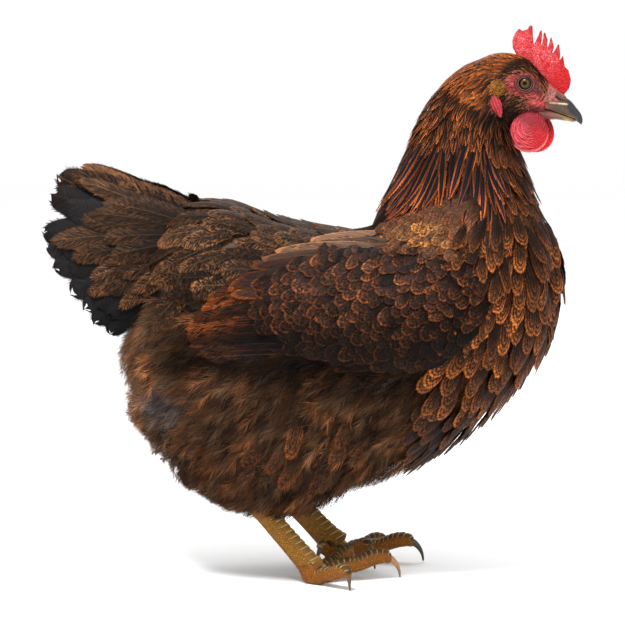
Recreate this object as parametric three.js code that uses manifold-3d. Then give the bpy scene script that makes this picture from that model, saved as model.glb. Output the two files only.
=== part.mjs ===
// A brown laced hen, standing still, at life size.
// Millimetres. +X is forward, +Y is the hen's left, +Z is up, and the floor is z = 0.
// The flesh is one smooth body, parted by thin cuts into torso, neck, head and tail.
// Wings, tail and hackle carry overlapping feather vanes in tiers.
import * as THREE from "three";
import { mergeVertices } from "three/addons/utils/BufferGeometryUtils.js";
import Module from "manifold-3d";

const wasm = await Module();
wasm.setup();

// ---------- driving sizes ----------
const GAP = 0.35; // left between touching nodes
const GROW = 0.5; // added to a loft that cuts its neighbour, so that a slanted cut keeps the gap
const VANE_THICK = 0.8;
const ROOT_SINK = 3.2; // how far a vane's root lies under the surface it grows from
const SIDES = { right: -1, left: 1 };
// Facets round and along each smooth body.
const TORSO_FACETS = [24, 16];
const NECK_FACETS = [20, 12];
const HEAD_FACETS = [16, 10];
const THIGH_FACETS = [14, 9];
const TAIL_FACETS = [12, 9];
const WING_FACETS = [14, 8];

// A row holds the low and high edge of a section at a place along the loft, and its half width.
const TORSO = {
  along: "x",
  from: -138,
  to: 184,
  power: 2.15,
  rows: [
    { at: -124, low: 104, high: 204, half: 36 },
    { at: -109, low: 84, high: 250, half: 57 },
    { at: -71, low: 60, high: 271, half: 74 },
    { at: -30, low: 54.5, high: 261, half: 79 },
    { at: 10, low: 59.5, high: 255, half: 80 },
    { at: 50, low: 69, high: 252, half: 78 },
    { at: 89, low: 88, high: 256, half: 73 },
    { at: 127, low: 116, high: 262, half: 64 },
    { at: 160, low: 153, high: 257, half: 46 },
  ],
};
const NECK = {
  along: "z",
  from: 169,
  to: 378,
  power: 2.0,
  rows: [
    { at: 201, low: 40, high: 180, half: 62 },
    { at: 229, low: 40, high: 180, half: 62 },
    { at: 246, low: 41.5, high: 174.5, half: 57 },
    { at: 262.5, low: 47.5, high: 167.5, half: 51 },
    { at: 282, low: 56.5, high: 159.4, half: 43.5 },
    { at: 304, low: 65.3, high: 151.5, half: 36.5 },
    { at: 325.5, low: 75, high: 145, half: 30.5 },
    { at: 347, low: 87.7, high: 145, half: 25.5 },
    { at: 364.5, low: 104.2, high: 148.8, half: 20.5 },
    { at: 374.3, low: 119.7, high: 148.7, half: 14 },
  ],
};
const HEAD = {
  along: "x",
  from: 110,
  to: 186.5,
  power: 2.3,
  rows: [
    { at: 127.5, low: 328.4, high: 375.8, half: 19.5 },
    { at: 145, low: 329.4, high: 377.2, half: 18.5 },
    { at: 156.5, low: 331.3, high: 373.2, half: 16.5 },
    { at: 168, low: 332.7, high: 361, half: 13 },
    { at: 178.7, low: 335.6, high: 350.7, half: 8.8 },
  ],
};
const TAIL_ROOF = 300; // height at which the two sides of the tail meet
const TAIL_SPREAD = 0.33; // how fast the sides part below the roof
const TAIL_CORE = { x: -114, z: 231, reach: 50, rise: 55, lean: 7 };
const THIGH = {
  along: "x",
  from: -98,
  to: 64,
  side: 43,
  power: 2.0,
  rows: [
    { at: -80, low: 63, high: 126, half: 24 },
    { at: -50, low: 47, high: 156, half: 36 },
    { at: -22, low: 43.5, high: 166, half: 41 },
    { at: 8, low: 50, high: 162, half: 39 },
    { at: 38, low: 67, high: 146, half: 30 },
  ],
};
const WING_CORE = { x: 52, z: 200, reach: 80, rise: 46, thick: 10, tilt: -0.1 };
const EYE = { x: 155.4, z: 354.9, radius: 5.6, out: 11.9 };
const LID = { radius: 6.1, tube: 1.15 };
const NOSTRIL = { x: 180.2, z: 344.8, reach: 2.6, rise: 1, thick: 1.3 };
const COMB = { thick: 6.4, bevel: 1.1 };
const WATTLE = { x: 157.9, z: 321.3, reach: 14.8, drop: 15.1, thick: 2.6, side: 8.2, splay: 0.16 };
const WATTLE_AHEAD = { right: 0, left: 2.6 }; // the left wattle has swung forward
// The mouth line: its rear end, its fall in degrees, and its length up to the hook of the upper beak.
const MOUTH = { x: 146.9, z: 344.8, fall: 19, length: 44.6 };
const EARLOBE = { x: 135.7, z: 339.4, reach: 4.2, rise: 8, thick: 2.4, proud: 0.6 };
const EAR_TUFT = { x: 137.8, z: 351.7, reach: 7, rise: 7, thick: 3, proud: -0.6 };
const SHANK = { rise: { right: [-57, 64], left: [-62, 62.5] }, wide: 5.8, deep: 7.6 };
const ANKLE = { right: [7.5, -50, 11.5], left: [8, 46, 13] };
// A toe turns from straight ahead to its outer side by turn, and its arch lifts it between ball and claw.
// The claw is as long as claw says, and hook is how much of that it reaches forward.
const TOES = [
  { name: "inner", turn: { right: -60, left: -44 }, reach: 45, thick: 10, arch: 1.15, claw: 13, hook: 0.6 },
  { name: "middle", turn: { right: -27, left: 5 }, reach: 59, thick: 11.5, arch: 1, claw: 16, hook: 0.64 },
  { name: "outer", turn: { right: 42, left: 38 }, reach: 43, thick: 10, arch: 0.8, claw: 13, hook: 0.25 },
  { name: "hind", turn: { right: -112, left: -118 }, reach: 16, thick: 9, arch: 0.7, claw: 10, hook: 0.6 },
];
// A toe's underside and depth along it: it dips past the ball and rises to its last joint.
const TOE_SHAPE = [
  { at: 0, low: -0.9, deep: 1, wide: 1.05 },
  { at: 0.2, low: -0.9, deep: 1, wide: 1 },
  { at: 0.41, low: 4.4, deep: 1, wide: 0.94 },
  { at: 0.6, low: 6, deep: 0.93, wide: 0.96 },
  { at: 0.8, low: 9.8, deep: 0.98, wide: 0.94 },
  { at: 0.93, low: 10.8, deep: 0.88, wide: 0.84 },
  { at: 1, low: 10.4, deep: 0.6, wide: 0.6 },
];

// ---------- helpers ----------
const V = (x, y, z) => new THREE.Vector3(x, y, z);
const mix = (a, b, t) => a + (b - a) * t;
const signedPower = (x, p) => Math.sign(x) * Math.abs(x) ** p;
const radians = THREE.MathUtils.degToRad;

// Seeded draws, so that the feathers vary alike in every run.
function dice(seed) {
  let state = seed;
  return () => {
    state = (state * 1664525 + 1013904223) % 4294967296;
    return state / 4294967296 - 0.5;
  };
}

// A smooth value of one key through rows sorted by their place.
function through(rows, key, at) {
  const last = rows.length - 1;
  if (at <= rows[0].at) return rows[0][key];
  if (at >= rows[last].at) return rows[last][key];
  const i = rows.findIndex((row, k) => k < last && at <= rows[k + 1].at);
  const slope = (k) => {
    const a = rows[Math.max(0, k - 1)];
    const b = rows[Math.min(last, k + 1)];
    return (b[key] - a[key]) / (b.at - a.at);
  };
  const span = rows[i + 1].at - rows[i].at;
  const t = (at - rows[i].at) / span;
  const bend = t * t * (3 - 2 * t);
  const ease = t * (1 - t);
  const leave = slope(i) * span * ease * (1 - t);
  const arrive = slope(i + 1) * span * ease * t;
  return mix(rows[i][key], rows[i + 1][key], bend) + leave - arrive;
}

// A geometry whose corners share their vertices, as a solid needs.
function weld(geometry) {
  const bare = geometry.clone();
  bare.deleteAttribute("normal");
  bare.deleteAttribute("uv");
  return mergeVertices(bare, 1e-4);
}

// A welded geometry as a solid with its faces outwards.
function solid(welded) {
  const corners = new Uint32Array(welded.index.array);
  const points = new Float32Array(welded.attributes.position.array);
  const make = () =>
    new wasm.Manifold(new wasm.Mesh({ numProp: 3, vertProperties: points, triVerts: corners }));
  const made = make();
  if (made.volume() > 0) return made;
  for (let i = 0; i < corners.length; i += 3) {
    [corners[i + 1], corners[i + 2]] = [corners[i + 2], corners[i + 1]];
  }
  return make();
}

const joined = (solids) => solids.reduce((a, b) => a.add(b));
const without = (body, cutters) => cutters.reduce((a, b) => a.subtract(b), body);
const largest = (body) => body.decompose().sort((a, b) => b.volume() - a.volume())[0];

// A sphere whose every point is moved by place(unit point).
function wrap(around, rings, place) {
  const geometry = weld(new THREE.SphereGeometry(1, around, rings));
  const position = geometry.getAttribute("position");
  const unit = V(0, 0, 0);
  for (let i = 0; i < position.count; i += 1) {
    unit.fromBufferAttribute(position, i);
    const p = place(unit);
    position.setXYZ(i, p.x, p.y, p.z);
  }
  return solid(geometry);
}

// A body whose sections follow the rows of a plan, with round ends.
class Loft {
  constructor(plan) {
    this.plan = { side: 0, ...plan };
    this.centre = (plan.from + plan.to) / 2;
    this.reach = (plan.to - plan.from) / 2;
    this.shape = plan.rows.map((row) => {
      const round = this.round(row.at);
      const middle = (row.low + row.high) / 2;
      const rise = (row.high - row.low) / 2 / round;
      return { at: row.at, middle, rise, half: row.half / round };
    });
  }
  round(at) {
    return Math.sqrt(Math.max(1e-9, 1 - ((at - this.centre) / this.reach) ** 2));
  }
  section(at) {
    const round = this.round(at);
    return {
      middle: through(this.shape, "middle", at),
      rise: through(this.shape, "rise", at) * round,
      half: through(this.shape, "half", at) * round,
    };
  }
  point(unit, grow, mirror) {
    const at = this.centre + this.reach * unit.y;
    const s = this.section(at);
    const turn = Math.atan2(unit.z, unit.x);
    const edge = Math.hypot(unit.x, unit.z);
    const power = 2 / this.plan.power;
    const up = signedPower(Math.sin(turn), power) * (s.rise + grow * edge);
    const out = signedPower(Math.cos(turn), power) * (s.half + grow * edge);
    const y = mirror * (this.plan.side + out);
    const along = at + grow * unit.y;
    return this.plan.along === "x" ? V(along, y, s.middle + up) : V(s.middle + up, y, along);
  }
  solid(around, rings, { grow = 0, mirror = 1 } = {}) {
    return wrap(around, rings, (unit) => this.point(unit, grow, mirror));
  }
  holds(p, mirror = 1) {
    const alongX = this.plan.along === "x";
    const at = alongX ? p.x : p.z;
    if (at <= this.plan.from || at >= this.plan.to) return false;
    const s = this.section(at);
    const up = Math.abs(((alongX ? p.z : p.x) - s.middle) / s.rise);
    const out = Math.abs((mirror * p.y - this.plan.side) / s.half);
    return up ** this.plan.power + out ** this.plan.power < 1;
  }
}

// The outermost point along a ray that any of the bodies holds, or null.
const RAY_REACH = 140;
const RAY_STEP = 2;
function surfaceAlong(origin, direction, bodies) {
  const at = (distance) => origin.clone().addScaledVector(direction, distance);
  const held = (distance) => bodies.some((body) => body.holds(at(distance)));
  let far = RAY_REACH;
  while (far > 0 && !held(far)) far -= RAY_STEP;
  if (far <= 0) return null;
  let low = far;
  let high = far + RAY_STEP;
  for (let i = 0; i < 12; i += 1) {
    const middle = (low + high) / 2;
    if (held(middle)) low = middle;
    else high = middle;
  }
  return low;
}

// One feather vane: a thin closed plate of cells along by cells across, split alike on both faces.
// place(s, j) gives a point at s along the vane and j from -1 to 1 across it, out(s, j) its outward way.
function vane(cells, across, place, out) {
  const points = [];
  const corners = [];
  const columns = across + 1;
  const count = (cells + 1) * columns;
  for (const face of [1, -1]) {
    for (let i = 0; i <= cells; i += 1) {
      for (let k = 0; k <= across; k += 1) {
        const s = i / cells;
        const j = (2 * k) / across - 1;
        const p = place(s, j).addScaledVector(out(s, j), (face * VANE_THICK) / 2);
        points.push(p.x, p.y, p.z);
      }
    }
  }
  const quad = (a, b, c, d) => corners.push(a, b, c, a, c, d);
  for (let i = 0; i < cells; i += 1) {
    for (let k = 0; k < across; k += 1) {
      const a = i * columns + k;
      const b = a + 1;
      const c = a + columns + 1;
      const d = a + columns;
      quad(a, b, c, d);
      corners.push(a + count, c + count, b + count, a + count, d + count, c + count);
    }
    for (const k of [0, across]) {
      const a = i * columns + k;
      const d = a + columns;
      if (k === 0) quad(a, d, d + count, a + count);
      else quad(a, a + count, d + count, d);
    }
  }
  for (let k = 0; k < across; k += 1) {
    const a = k;
    const e = cells * columns + k;
    quad(a, a + count, a + 1 + count, a + 1);
    quad(e, e + 1, e + 1 + count, e + count);
  }
  const geometry = new THREE.BufferGeometry();
  geometry.setAttribute("position", new THREE.Float32BufferAttribute(points, 3));
  geometry.setIndex(corners);
  return solid(geometry);
}

// The half width of a feather along its length, as a share of the widest.
const BROAD = [
  { at: 0, share: 0.45 },
  { at: 0.3, share: 0.86 },
  { at: 0.65, share: 1 },
  { at: 0.88, share: 0.88 },
  { at: 1, share: 0.5 },
];
const POINTED = [
  { at: 0, share: 0.6 },
  { at: 0.35, share: 1 },
  { at: 0.7, share: 0.78 },
  { at: 1, share: 0.12 },
];

// A tier of vanes seen from the side: roots and tips run along two lines, and each lies on side(x, z).
function sideTier(tier, mirror, side, draw) {
  const made = [];
  for (let i = 0; i < tier.count; i += 1) {
    const t = tier.count > 1 ? i / (tier.count - 1) : 0;
    const vary = 1 + 0.06 * draw();
    const root = new THREE.Vector2(...tier.roots(t));
    const tip = new THREE.Vector2(...tier.tips(t)).sub(root).multiplyScalar(vary).add(root);
    const way = tip.clone().sub(root);
    const length = way.length();
    way.normalize();
    const cross = new THREE.Vector2(-way.y, way.x);
    const half = (tier.width / 2) * (1 + 0.1 * draw());
    const bow = tier.bow * length;
    const place = (s, j) => {
      const x = root.x + way.x * length * s + cross.x * bow * 4 * s * (1 - s);
      const z = root.y + way.y * length * s + cross.y * bow * 4 * s * (1 - s);
      const w = half * through(BROAD, "share", s) * j;
      const px = x + cross.x * w;
      const pz = z + cross.y * w;
      const sunk = s < 0.2 ? ROOT_SINK * (1 - s / 0.2) : 0;
      const lift = mix(tier.lift[0], tier.lift[1], s) - tier.shingle * j * (1 - 0.3 * s) - sunk;
      return V(px, mirror * Math.max(0.6, side(px, pz) + lift), pz);
    };
    made.push(vane(tier.cells, tier.across, place, () => V(0, mirror, 0)));
  }
  return made;
}

// ---------- the flesh ----------
const torsoLoft = new Loft(TORSO);
const neckLoft = new Loft(NECK);
const headLoft = new Loft(HEAD);
const thighLoft = new Loft(THIGH);

const tailSide = (x, z) => 1.2 + TAIL_SPREAD * Math.max(0, TAIL_ROOF - z);
function tailCore(grow) {
  return wrap(...TAIL_FACETS, (unit) => {
    const x = TAIL_CORE.x + (TAIL_CORE.reach + grow) * unit.x;
    const z = TAIL_CORE.z + (TAIL_CORE.rise + grow) * unit.y - TAIL_CORE.lean * unit.x;
    const broad = Math.abs(unit.z) ** 0.7 * Math.sign(unit.z);
    return V(x, broad * (tailSide(x, z) + 1.6 + grow), z);
  });
}

// A large box turned about the Y axis, whose lower rear edge passes through (x, z).
const BLOCK = 600;
function zone(x, z, turn, grow = 0) {
  const box = new THREE.BoxGeometry(BLOCK, BLOCK, BLOCK);
  box.translate(BLOCK / 2 - grow, 0, BLOCK / 2 - grow);
  box.rotateY(radians(-turn));
  box.translate(x, 0, z);
  return solid(weld(box));
}
// The neck begins above its base line, the head above the line from nape to throat.
const neckZone = (grow) => zone(38, 258.5, -9, grow);
const headZone = (grow) => zone(86, 354.5, -31, grow);
// The tail's zone opens backwards: it is a box turned half round.
function tailZone(grow) {
  const box = new THREE.BoxGeometry(BLOCK, BLOCK, BLOCK);
  box.translate(-BLOCK / 2 + grow, 0, BLOCK / 2 - grow);
  box.rotateY(radians(14));
  box.translate(-96, 0, 172);
  return solid(weld(box));
}

const flesh = joined([
  torsoLoft.solid(...TORSO_FACETS),
  neckLoft.solid(...NECK_FACETS),
  headLoft.solid(...HEAD_FACETS),
  tailCore(0),
]);
const torsoFlesh = without(flesh, [neckZone(GAP), tailZone(GAP), headZone(GAP)]);
const neckFlesh = without(flesh.intersect(neckZone(0)), [headZone(GAP)]);
const tailFlesh = flesh.intersect(tailZone(0));
const fleshCutters = () => [
  torsoLoft.solid(...TORSO_FACETS, { grow: GROW }),
  neckLoft.solid(...NECK_FACETS, { grow: GROW }),
  tailCore(GROW),
];

const nodes = new Map();
const keep = (name, body, colour, roughness) =>
  nodes.set(name, { body: largest(body), colour, roughness });
const BROWN = 0x5a3420;
const DARK = 0x3a2a22;
const FLUFF = 0x4a3226;
const RED = 0xc8242a;
const YELLOW = 0xb88a3c;
const HORN = 0x3a3430;

keep("torso", torsoFlesh, BROWN, 0.8);

// ---------- thighs ----------
for (const [name, mirror] of Object.entries(SIDES)) {
  const lobe = thighLoft.solid(...THIGH_FACETS, { mirror });
  keep(`thigh_${name}`, without(lobe, fleshCutters()), FLUFF, 0.9);
}

// ---------- wings ----------
// The far side of the body at (x, z), outside torso and thigh.
const thighMirrored = { holds: (p) => thighLoft.holds(p, Math.sign(p.y) || 1) };
const bodies = [torsoLoft, neckLoft, thighMirrored];
const bodySide = (x, z) => surfaceAlong(V(x, 0, z), V(0, 1, 0), bodies) ?? 0;
function wingBulge(x, z) {
  const across = (x - WING_CORE.x) / WING_CORE.reach;
  const up = (z - WING_CORE.z - WING_CORE.tilt * (x - WING_CORE.x)) / WING_CORE.rise;
  const inside = 1 - across * across - up * up;
  return inside > 0 ? WING_CORE.thick * Math.sqrt(inside) : 0;
}
const wingSide = (x, z) => bodySide(x, z) + wingBulge(x, z);
function wingCore(mirror, grow) {
  return wrap(...WING_FACETS, (unit) => {
    const x = WING_CORE.x + (WING_CORE.reach + grow) * unit.x;
    const z = WING_CORE.z + (WING_CORE.rise + grow) * unit.y + WING_CORE.tilt * WING_CORE.reach * unit.x;
    const out = WING_CORE.thick + grow;
    return V(x, mirror * (bodySide(x, z) + out * unit.z), z);
  });
}
const line = (from, to) => (t) => [mix(from[0], to[0], t), mix(from[1], to[1], t)];
const bent = (from, by, to) => (t) => [
  mix(mix(from[0], by[0], t), mix(by[0], to[0], t), t),
  mix(mix(from[1], by[1], t), mix(by[1], to[1], t), t),
];
// Tiers from the lowest lying to the top one.
// Roots and tips are lines of (x, z) points from the lower to the upper feather.
const WING_TIERS = [
  {
    count: 3,
    cells: 3,
    across: 1,
    width: 13,
    roots: line([34, 162], [26, 172]),
    tips: line([-54, 160], [-71, 168]),
    lift: [2.0, 1.9],
    shingle: 0.7,
    bow: -0.05,
  },
  {
    count: 7,
    cells: 4,
    across: 2,
    width: 21,
    roots: line([20, 176], [42, 230]),
    tips: bent([-73, 176], [-58, 212], [-22, 234]),
    lift: [3.0, 3.6],
    shingle: 1.2,
    bow: 0.03,
  },
  {
    count: 7,
    cells: 2,
    across: 2,
    width: 19,
    roots: line([84, 166], [60, 238]),
    tips: bent([30, 156], [6, 196], [6, 236]),
    lift: [3.0, 7.6],
    shingle: 1.1,
    bow: 0.02,
  },
  {
    count: 6,
    cells: 2,
    across: 2,
    width: 19,
    roots: line([108, 176], [88, 240]),
    tips: bent([68, 160], [42, 198], [44, 238]),
    lift: [3.0, 7.4],
    shingle: 1.1,
    bow: 0.02,
  },
];
for (const [name, mirror] of Object.entries(SIDES)) {
  const draw = dice(11);
  const vanes = WING_TIERS.flatMap((tier) => sideTier(tier, mirror, wingSide, draw));
  const wing = joined([wingCore(mirror, 0), ...vanes]);
  const thighCut = thighLoft.solid(...THIGH_FACETS, { mirror, grow: GROW });
  keep(`wing_${name}`, without(wing, [...fleshCutters(), thighCut]), BROWN, 0.75);
}

// ---------- tail ----------
// Each side's feathers fan out round one point, from the roof down.
const TAIL_FAN = { x: -98, z: 238 };
const fanned = (radius, from, to) => (t) => {
  const turn = radians(mix(from, to, t));
  const reach = mix(radius[0], radius[1], t * t);
  return [TAIL_FAN.x + reach * Math.cos(turn), TAIL_FAN.z + reach * Math.sin(turn)];
};
const TAIL_TIERS = [
  {
    count: 7,
    cells: 3,
    across: 2,
    width: 30,
    roots: fanned([20, 20], 150, 228),
    tips: fanned([101, 79], 149.5, 232),
    lift: [-0.5, -0.5],
    shingle: 1.5,
    bow: -0.02,
  },
  {
    count: 5,
    cells: 2,
    across: 2,
    width: 29,
    roots: fanned([18, 18], 148, 222),
    tips: fanned([80, 62], 144, 222),
    lift: [1.6, 4.8],
    shingle: 1.3,
    bow: -0.02,
  },
];
const tailDraw = dice(23);
const tailVanes = Object.values(SIDES).flatMap((mirror) =>
  TAIL_TIERS.flatMap((tier) => sideTier(tier, mirror, tailSide, tailDraw)),
);
const rump = without(torsoLoft.solid(...TORSO_FACETS, { grow: GROW }), [tailZone(0)]);
keep("tail", without(joined([tailFlesh, ...tailVanes]), [rump]), DARK, 0.8);

// ---------- neck with its hackle ----------
// A hackle vane hangs down the neck.
// Its ray leaves the neck's axis and tips upwards as it nears the shoulder.
const HACKLE_TIERS = [
  { count: 13, top: 278, bottom: 230, width: 19, lift: [1.9, 2.0], shingle: 0.6, rise: [2, 30] },
  { count: 11, top: 304, bottom: 258, width: 17, lift: [1.9, 4.4], shingle: 0.6, rise: [0, 12] },
];
const HACKLE_SPAN = { from: 58, to: 302 };
const wingBody = {
  holds: (p) => wingBulge(p.x, p.z) > 0 && Math.abs(p.y) < wingSide(p.x, p.z) && Math.abs(p.y) > 20,
};
const underHackle = [torsoLoft, neckLoft, wingBody];
function hackle(tier, draw) {
  const made = [];
  for (let i = 0; i < tier.count; i += 1) {
    const share = (i + 0.5 * (tier.count % 2)) / (tier.count - 0.5);
    const turn = radians(mix(HACKLE_SPAN.from, HACKLE_SPAN.to, share));
    const drop = (tier.top - tier.bottom) * (1 + 0.12 * draw());
    const ray = (s, j) => {
      const z = tier.top - drop * s;
      const base = neckLoft.section(z);
      const half = (tier.width / 2) * through(POINTED, "share", s);
      const angle = turn + (half * j) / ((base.rise + base.half) / 2);
      const rise = radians(mix(tier.rise[0], tier.rise[1], s * s));
      const flat = Math.cos(rise);
      const direction = V(Math.cos(angle) * flat, Math.sin(angle) * flat, Math.sin(rise));
      return { origin: V(base.middle, 0, z - 26 * Math.sin(rise)), direction };
    };
    const place = (s, j) => {
      const { origin, direction } = ray(s, j);
      const surface = surfaceAlong(origin, direction, underHackle) ?? 40;
      const sunk = s < 0.2 ? ROOT_SINK * (1 - s / 0.2) : 0;
      const lift = mix(tier.lift[0], tier.lift[1], s) + tier.shingle * j - sunk;
      return origin.addScaledVector(direction, surface + lift);
    };
    made.push(vane(3, 1, place, (s, j) => ray(s, j).direction));
  }
  return made;
}
const hackleDraw = dice(37);
const hackleVanes = HACKLE_TIERS.flatMap((tier) => hackle(tier, hackleDraw));
const neckCut = [
  without(torsoLoft.solid(...TORSO_FACETS, { grow: GROW }), [neckZone(0)]),
  wingCore(-1, GROW),
  wingCore(1, GROW),
  headZone(GAP),
];
keep("neck", without(joined([neckFlesh, ...hackleVanes]), neckCut), BROWN, 0.75);

// ---------- head ----------
// A flat lens that stands on the head's side, turned to the side it is on.
function lens(at, mirror, grow, out) {
  return wrap(10, 6, (unit) =>
    V(
      at.x + (at.reach + grow) * unit.x,
      mirror * (out + (at.thick + grow) * unit.z),
      at.z + (at.rise + grow) * unit.y,
    ),
  );
}
const headSide = (x, z) => surfaceAlong(V(x, 0, z), V(0, 1, 0), [headLoft, neckLoft]);
const faceLens = (at, mirror, grow) => lens(at, mirror, grow, headSide(at.x, at.z) + at.proud);
const eyeBall = (mirror, grow) => {
  const ball = new THREE.SphereGeometry(EYE.radius + grow, 14, 10);
  ball.translate(EYE.x, mirror * EYE.out, EYE.z);
  return solid(weld(ball));
};
function eyelids(mirror) {
  const ring = new THREE.TorusGeometry(LID.radius, LID.tube, 5, 14);
  ring.rotateX(Math.PI / 2);
  ring.scale(1.06, 1, 0.9);
  ring.rotateZ(radians(-mirror * 8));
  ring.translate(EYE.x, mirror * (headSide(EYE.x, EYE.z) - 0.2), EYE.z);
  return solid(weld(ring));
}
// The comb's outline as (x, z): rear blade, five points, front lobe, and back under the crown.
const COMB_OUTLINE = [
  [148.9, 374.2], [145.4, 381], [145.2, 386.4], [146.7, 390.4], [148.4, 392.6], [149.6, 394.2],
  [151.9, 392.5], [155.9, 393.8], [157.1, 396.2], [158.9, 396.4], [159.2, 389.7], [159.8, 382.5],
  [161.2, 384.2], [165.4, 393.7], [165.9, 388.7], [164.8, 381.5],
  [166.3, 383.2], [167.7, 392.2], [169.8, 386.1], [169.2, 380.2],
  [171, 381.8], [172.5, 388.1], [174.4, 381.3], [172.7, 375.6],
  [174.7, 377.2], [178, 383.5], [178.9, 375.4], [178.1, 371.3],
  [179.4, 372], [181, 374.8], [182, 367.2],
  [184.7, 364.7], [186.6, 357.7], [185.4, 351.7], [181.6, 347.3],
  [173.9, 344.9], [167.1, 352.2], [161.3, 359.5], [156, 365.4], [150.7, 369.3],
];
const COMB_FOOT = { x: 156.5, z: 358.5, from: 10, slim: 0.016 }; // the blade thins away from this point
function combSolid() {
  const outline = COMB_OUTLINE.map(([x, z]) => new THREE.Vector2(x, z));
  const blade = new THREE.ExtrudeGeometry(new THREE.Shape(outline), {
    depth: COMB.thick - 2 * COMB.bevel,
    bevelThickness: COMB.bevel,
    bevelSize: 0.4,
    bevelSegments: 1,
  });
  blade.translate(0, 0, -COMB.thick / 2 + COMB.bevel);
  blade.rotateX(Math.PI / 2);
  const position = blade.getAttribute("position");
  for (let i = 0; i < position.count; i += 1) {
    const away = Math.hypot(position.getX(i) - COMB_FOOT.x, position.getZ(i) - COMB_FOOT.z);
    const slim = 1 - COMB_FOOT.slim * Math.max(0, away - COMB_FOOT.from);
    position.setY(i, position.getY(i) * slim);
  }
  return solid(weld(blade));
}

// A tube through rings, closed at both ends. A ring is { p: [x, y, z], wide, deep }.
function sweep(rings, around, { turn = 0, origin = [0, 0, 0], floor = null, power = 2 } = {}) {
  const last = rings.length - 1;
  const centres = rings.map((ring) => V(...ring.p));
  return wrap(around, last, (unit) => {
    const k = Math.round((Math.acos(THREE.MathUtils.clamp(unit.y, -1, 1)) / Math.PI) * last);
    const way = centres[Math.min(last, k + 1)].clone().sub(centres[Math.max(0, k - 1)]).normalize();
    const side = V(0, 0, 1).cross(way).normalize();
    const up = way.clone().cross(side);
    const angle = Math.atan2(unit.z, unit.x);
    const ring = rings[k];
    const p = centres[k].clone();
    p.addScaledVector(side, signedPower(Math.cos(angle), 2 / power) * ring.wide);
    p.addScaledVector(up, signedPower(Math.sin(angle), 2 / power) * ring.deep);
    p.applyAxisAngle(V(0, 0, 1), radians(turn)).add(V(...origin));
    if (floor !== null) p.z = Math.max(floor, p.z);
    return p;
  });
}
const closed = (x, z) => ({ p: [x, 0, z], wide: 0, deep: 0 });
// The same rings, standing out by a width on all sides and at both ends.
const grown = (rings, by) =>
  rings.map((ring, k) => {
    if (ring.wide > 0) return { ...ring, wide: ring.wide + by, deep: ring.deep + by };
    const end = V(...ring.p);
    const beyond = end.clone().sub(V(...rings[k === 0 ? 1 : k - 1].p)).setLength(by);
    return { ...ring, p: end.add(beyond).toArray() };
  });
const UPPER_BEAK = [
  closed(160.5, 342),
  { p: [162.4, 0, 342.2], wide: 8.5, deep: 6.5 },
  { p: [170.1, 0, 341.8], wide: 7.9, deep: 6.7 },
  { p: [176.8, 0, 340.6], wide: 6.8, deep: 6.8 },
  { p: [182.6, 0, 338.3], wide: 5.5, deep: 6.2 },
  { p: [187.2, 0, 334.9], wide: 4.3, deep: 4.9 },
  { p: [191.1, 0, 332], wide: 3.0, deep: 3.5 },
  { p: [193.5, 0, 328.7], wide: 1.6, deep: 2.0 },
  closed(194.5, 325.8),
];
const LOWER_BEAK = [
  closed(160.5, 335.2),
  { p: [162.4, 0, 334.6], wide: 7.6, deep: 4.4 },
  { p: [170.1, 0, 333.5], wide: 6.8, deep: 3.9 },
  { p: [176.9, 0, 332.5], wide: 5.7, deep: 3.0 },
  { p: [183.6, 0, 330.7], wide: 4.1, deep: 2.2 },
  { p: [188.6, 0, 329.2], wide: 2.2, deep: 1.4 },
  closed(190.9, 328.5),
];
const upperBeak = sweep(UPPER_BEAK, 12, { power: 2.2 });
const mouthCut = (grow) => {
  const slab = new THREE.BoxGeometry(MOUTH.length + grow, 40, 40);
  slab.translate((MOUTH.length + grow) / 2, 0, -20 + grow);
  slab.rotateY(radians(MOUTH.fall));
  slab.translate(MOUTH.x, 0, MOUTH.z);
  return solid(weld(slab));
};
const lowerBeak = sweep(LOWER_BEAK, 12);
const skullCutters = () => [
  headLoft.solid(...HEAD_FACETS, { grow: GROW }),
  neckLoft.solid(...NECK_FACETS, { grow: GROW }),
];
const faceSolids = Object.values(SIDES).flatMap((mirror) => [
  eyelids(mirror),
  faceLens(EAR_TUFT, mirror, 0),
]);
const eyeSockets = Object.values(SIDES).map((mirror) => eyeBall(mirror, GAP));
const beakSocket = sweep(grown(UPPER_BEAK, GROW), 12, { power: 2.2 });
const lowerSocket = sweep(grown(LOWER_BEAK, GROW), 12);
const BEAK_BASE = 169; // the beak's horn starts here
const HORN_EDGE = 341.6; // the cere ends here, above the bare side of the horn
const beakHorn = zone(BEAK_BASE, 300, 0);
const headFlesh = joined([flesh.intersect(headZone(0)), ...faceSolids]);
const beakCuts = [beakSocket, lowerSocket].map((socket) => socket.intersect(zone(BEAK_BASE - GAP, 290, 0)));
const bareHorn = new THREE.BoxGeometry(BLOCK, BLOCK, BLOCK);
bareHorn.translate(BLOCK / 2 + BEAK_BASE - GAP, 0, HORN_EDGE - BLOCK / 2);
const nostrils = Object.values(SIDES).map((mirror) => lens(NOSTRIL, mirror, 0, headSide(NOSTRIL.x, NOSTRIL.z)));
const faceCuts = [...eyeSockets, ...beakCuts, solid(weld(bareHorn)), ...nostrils];
keep("head", without(headFlesh, faceCuts), RED, 0.6);
keep("comb", without(combSolid(), [...skullCutters(), beakSocket]), RED, 0.55);

keep("beak_upper", without(upperBeak.intersect(beakHorn), [mouthCut(GAP)]), HORN, 0.4);
keep("beak_lower", lowerBeak.intersect(beakHorn).intersect(mouthCut(0)), HORN, 0.4);

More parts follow.
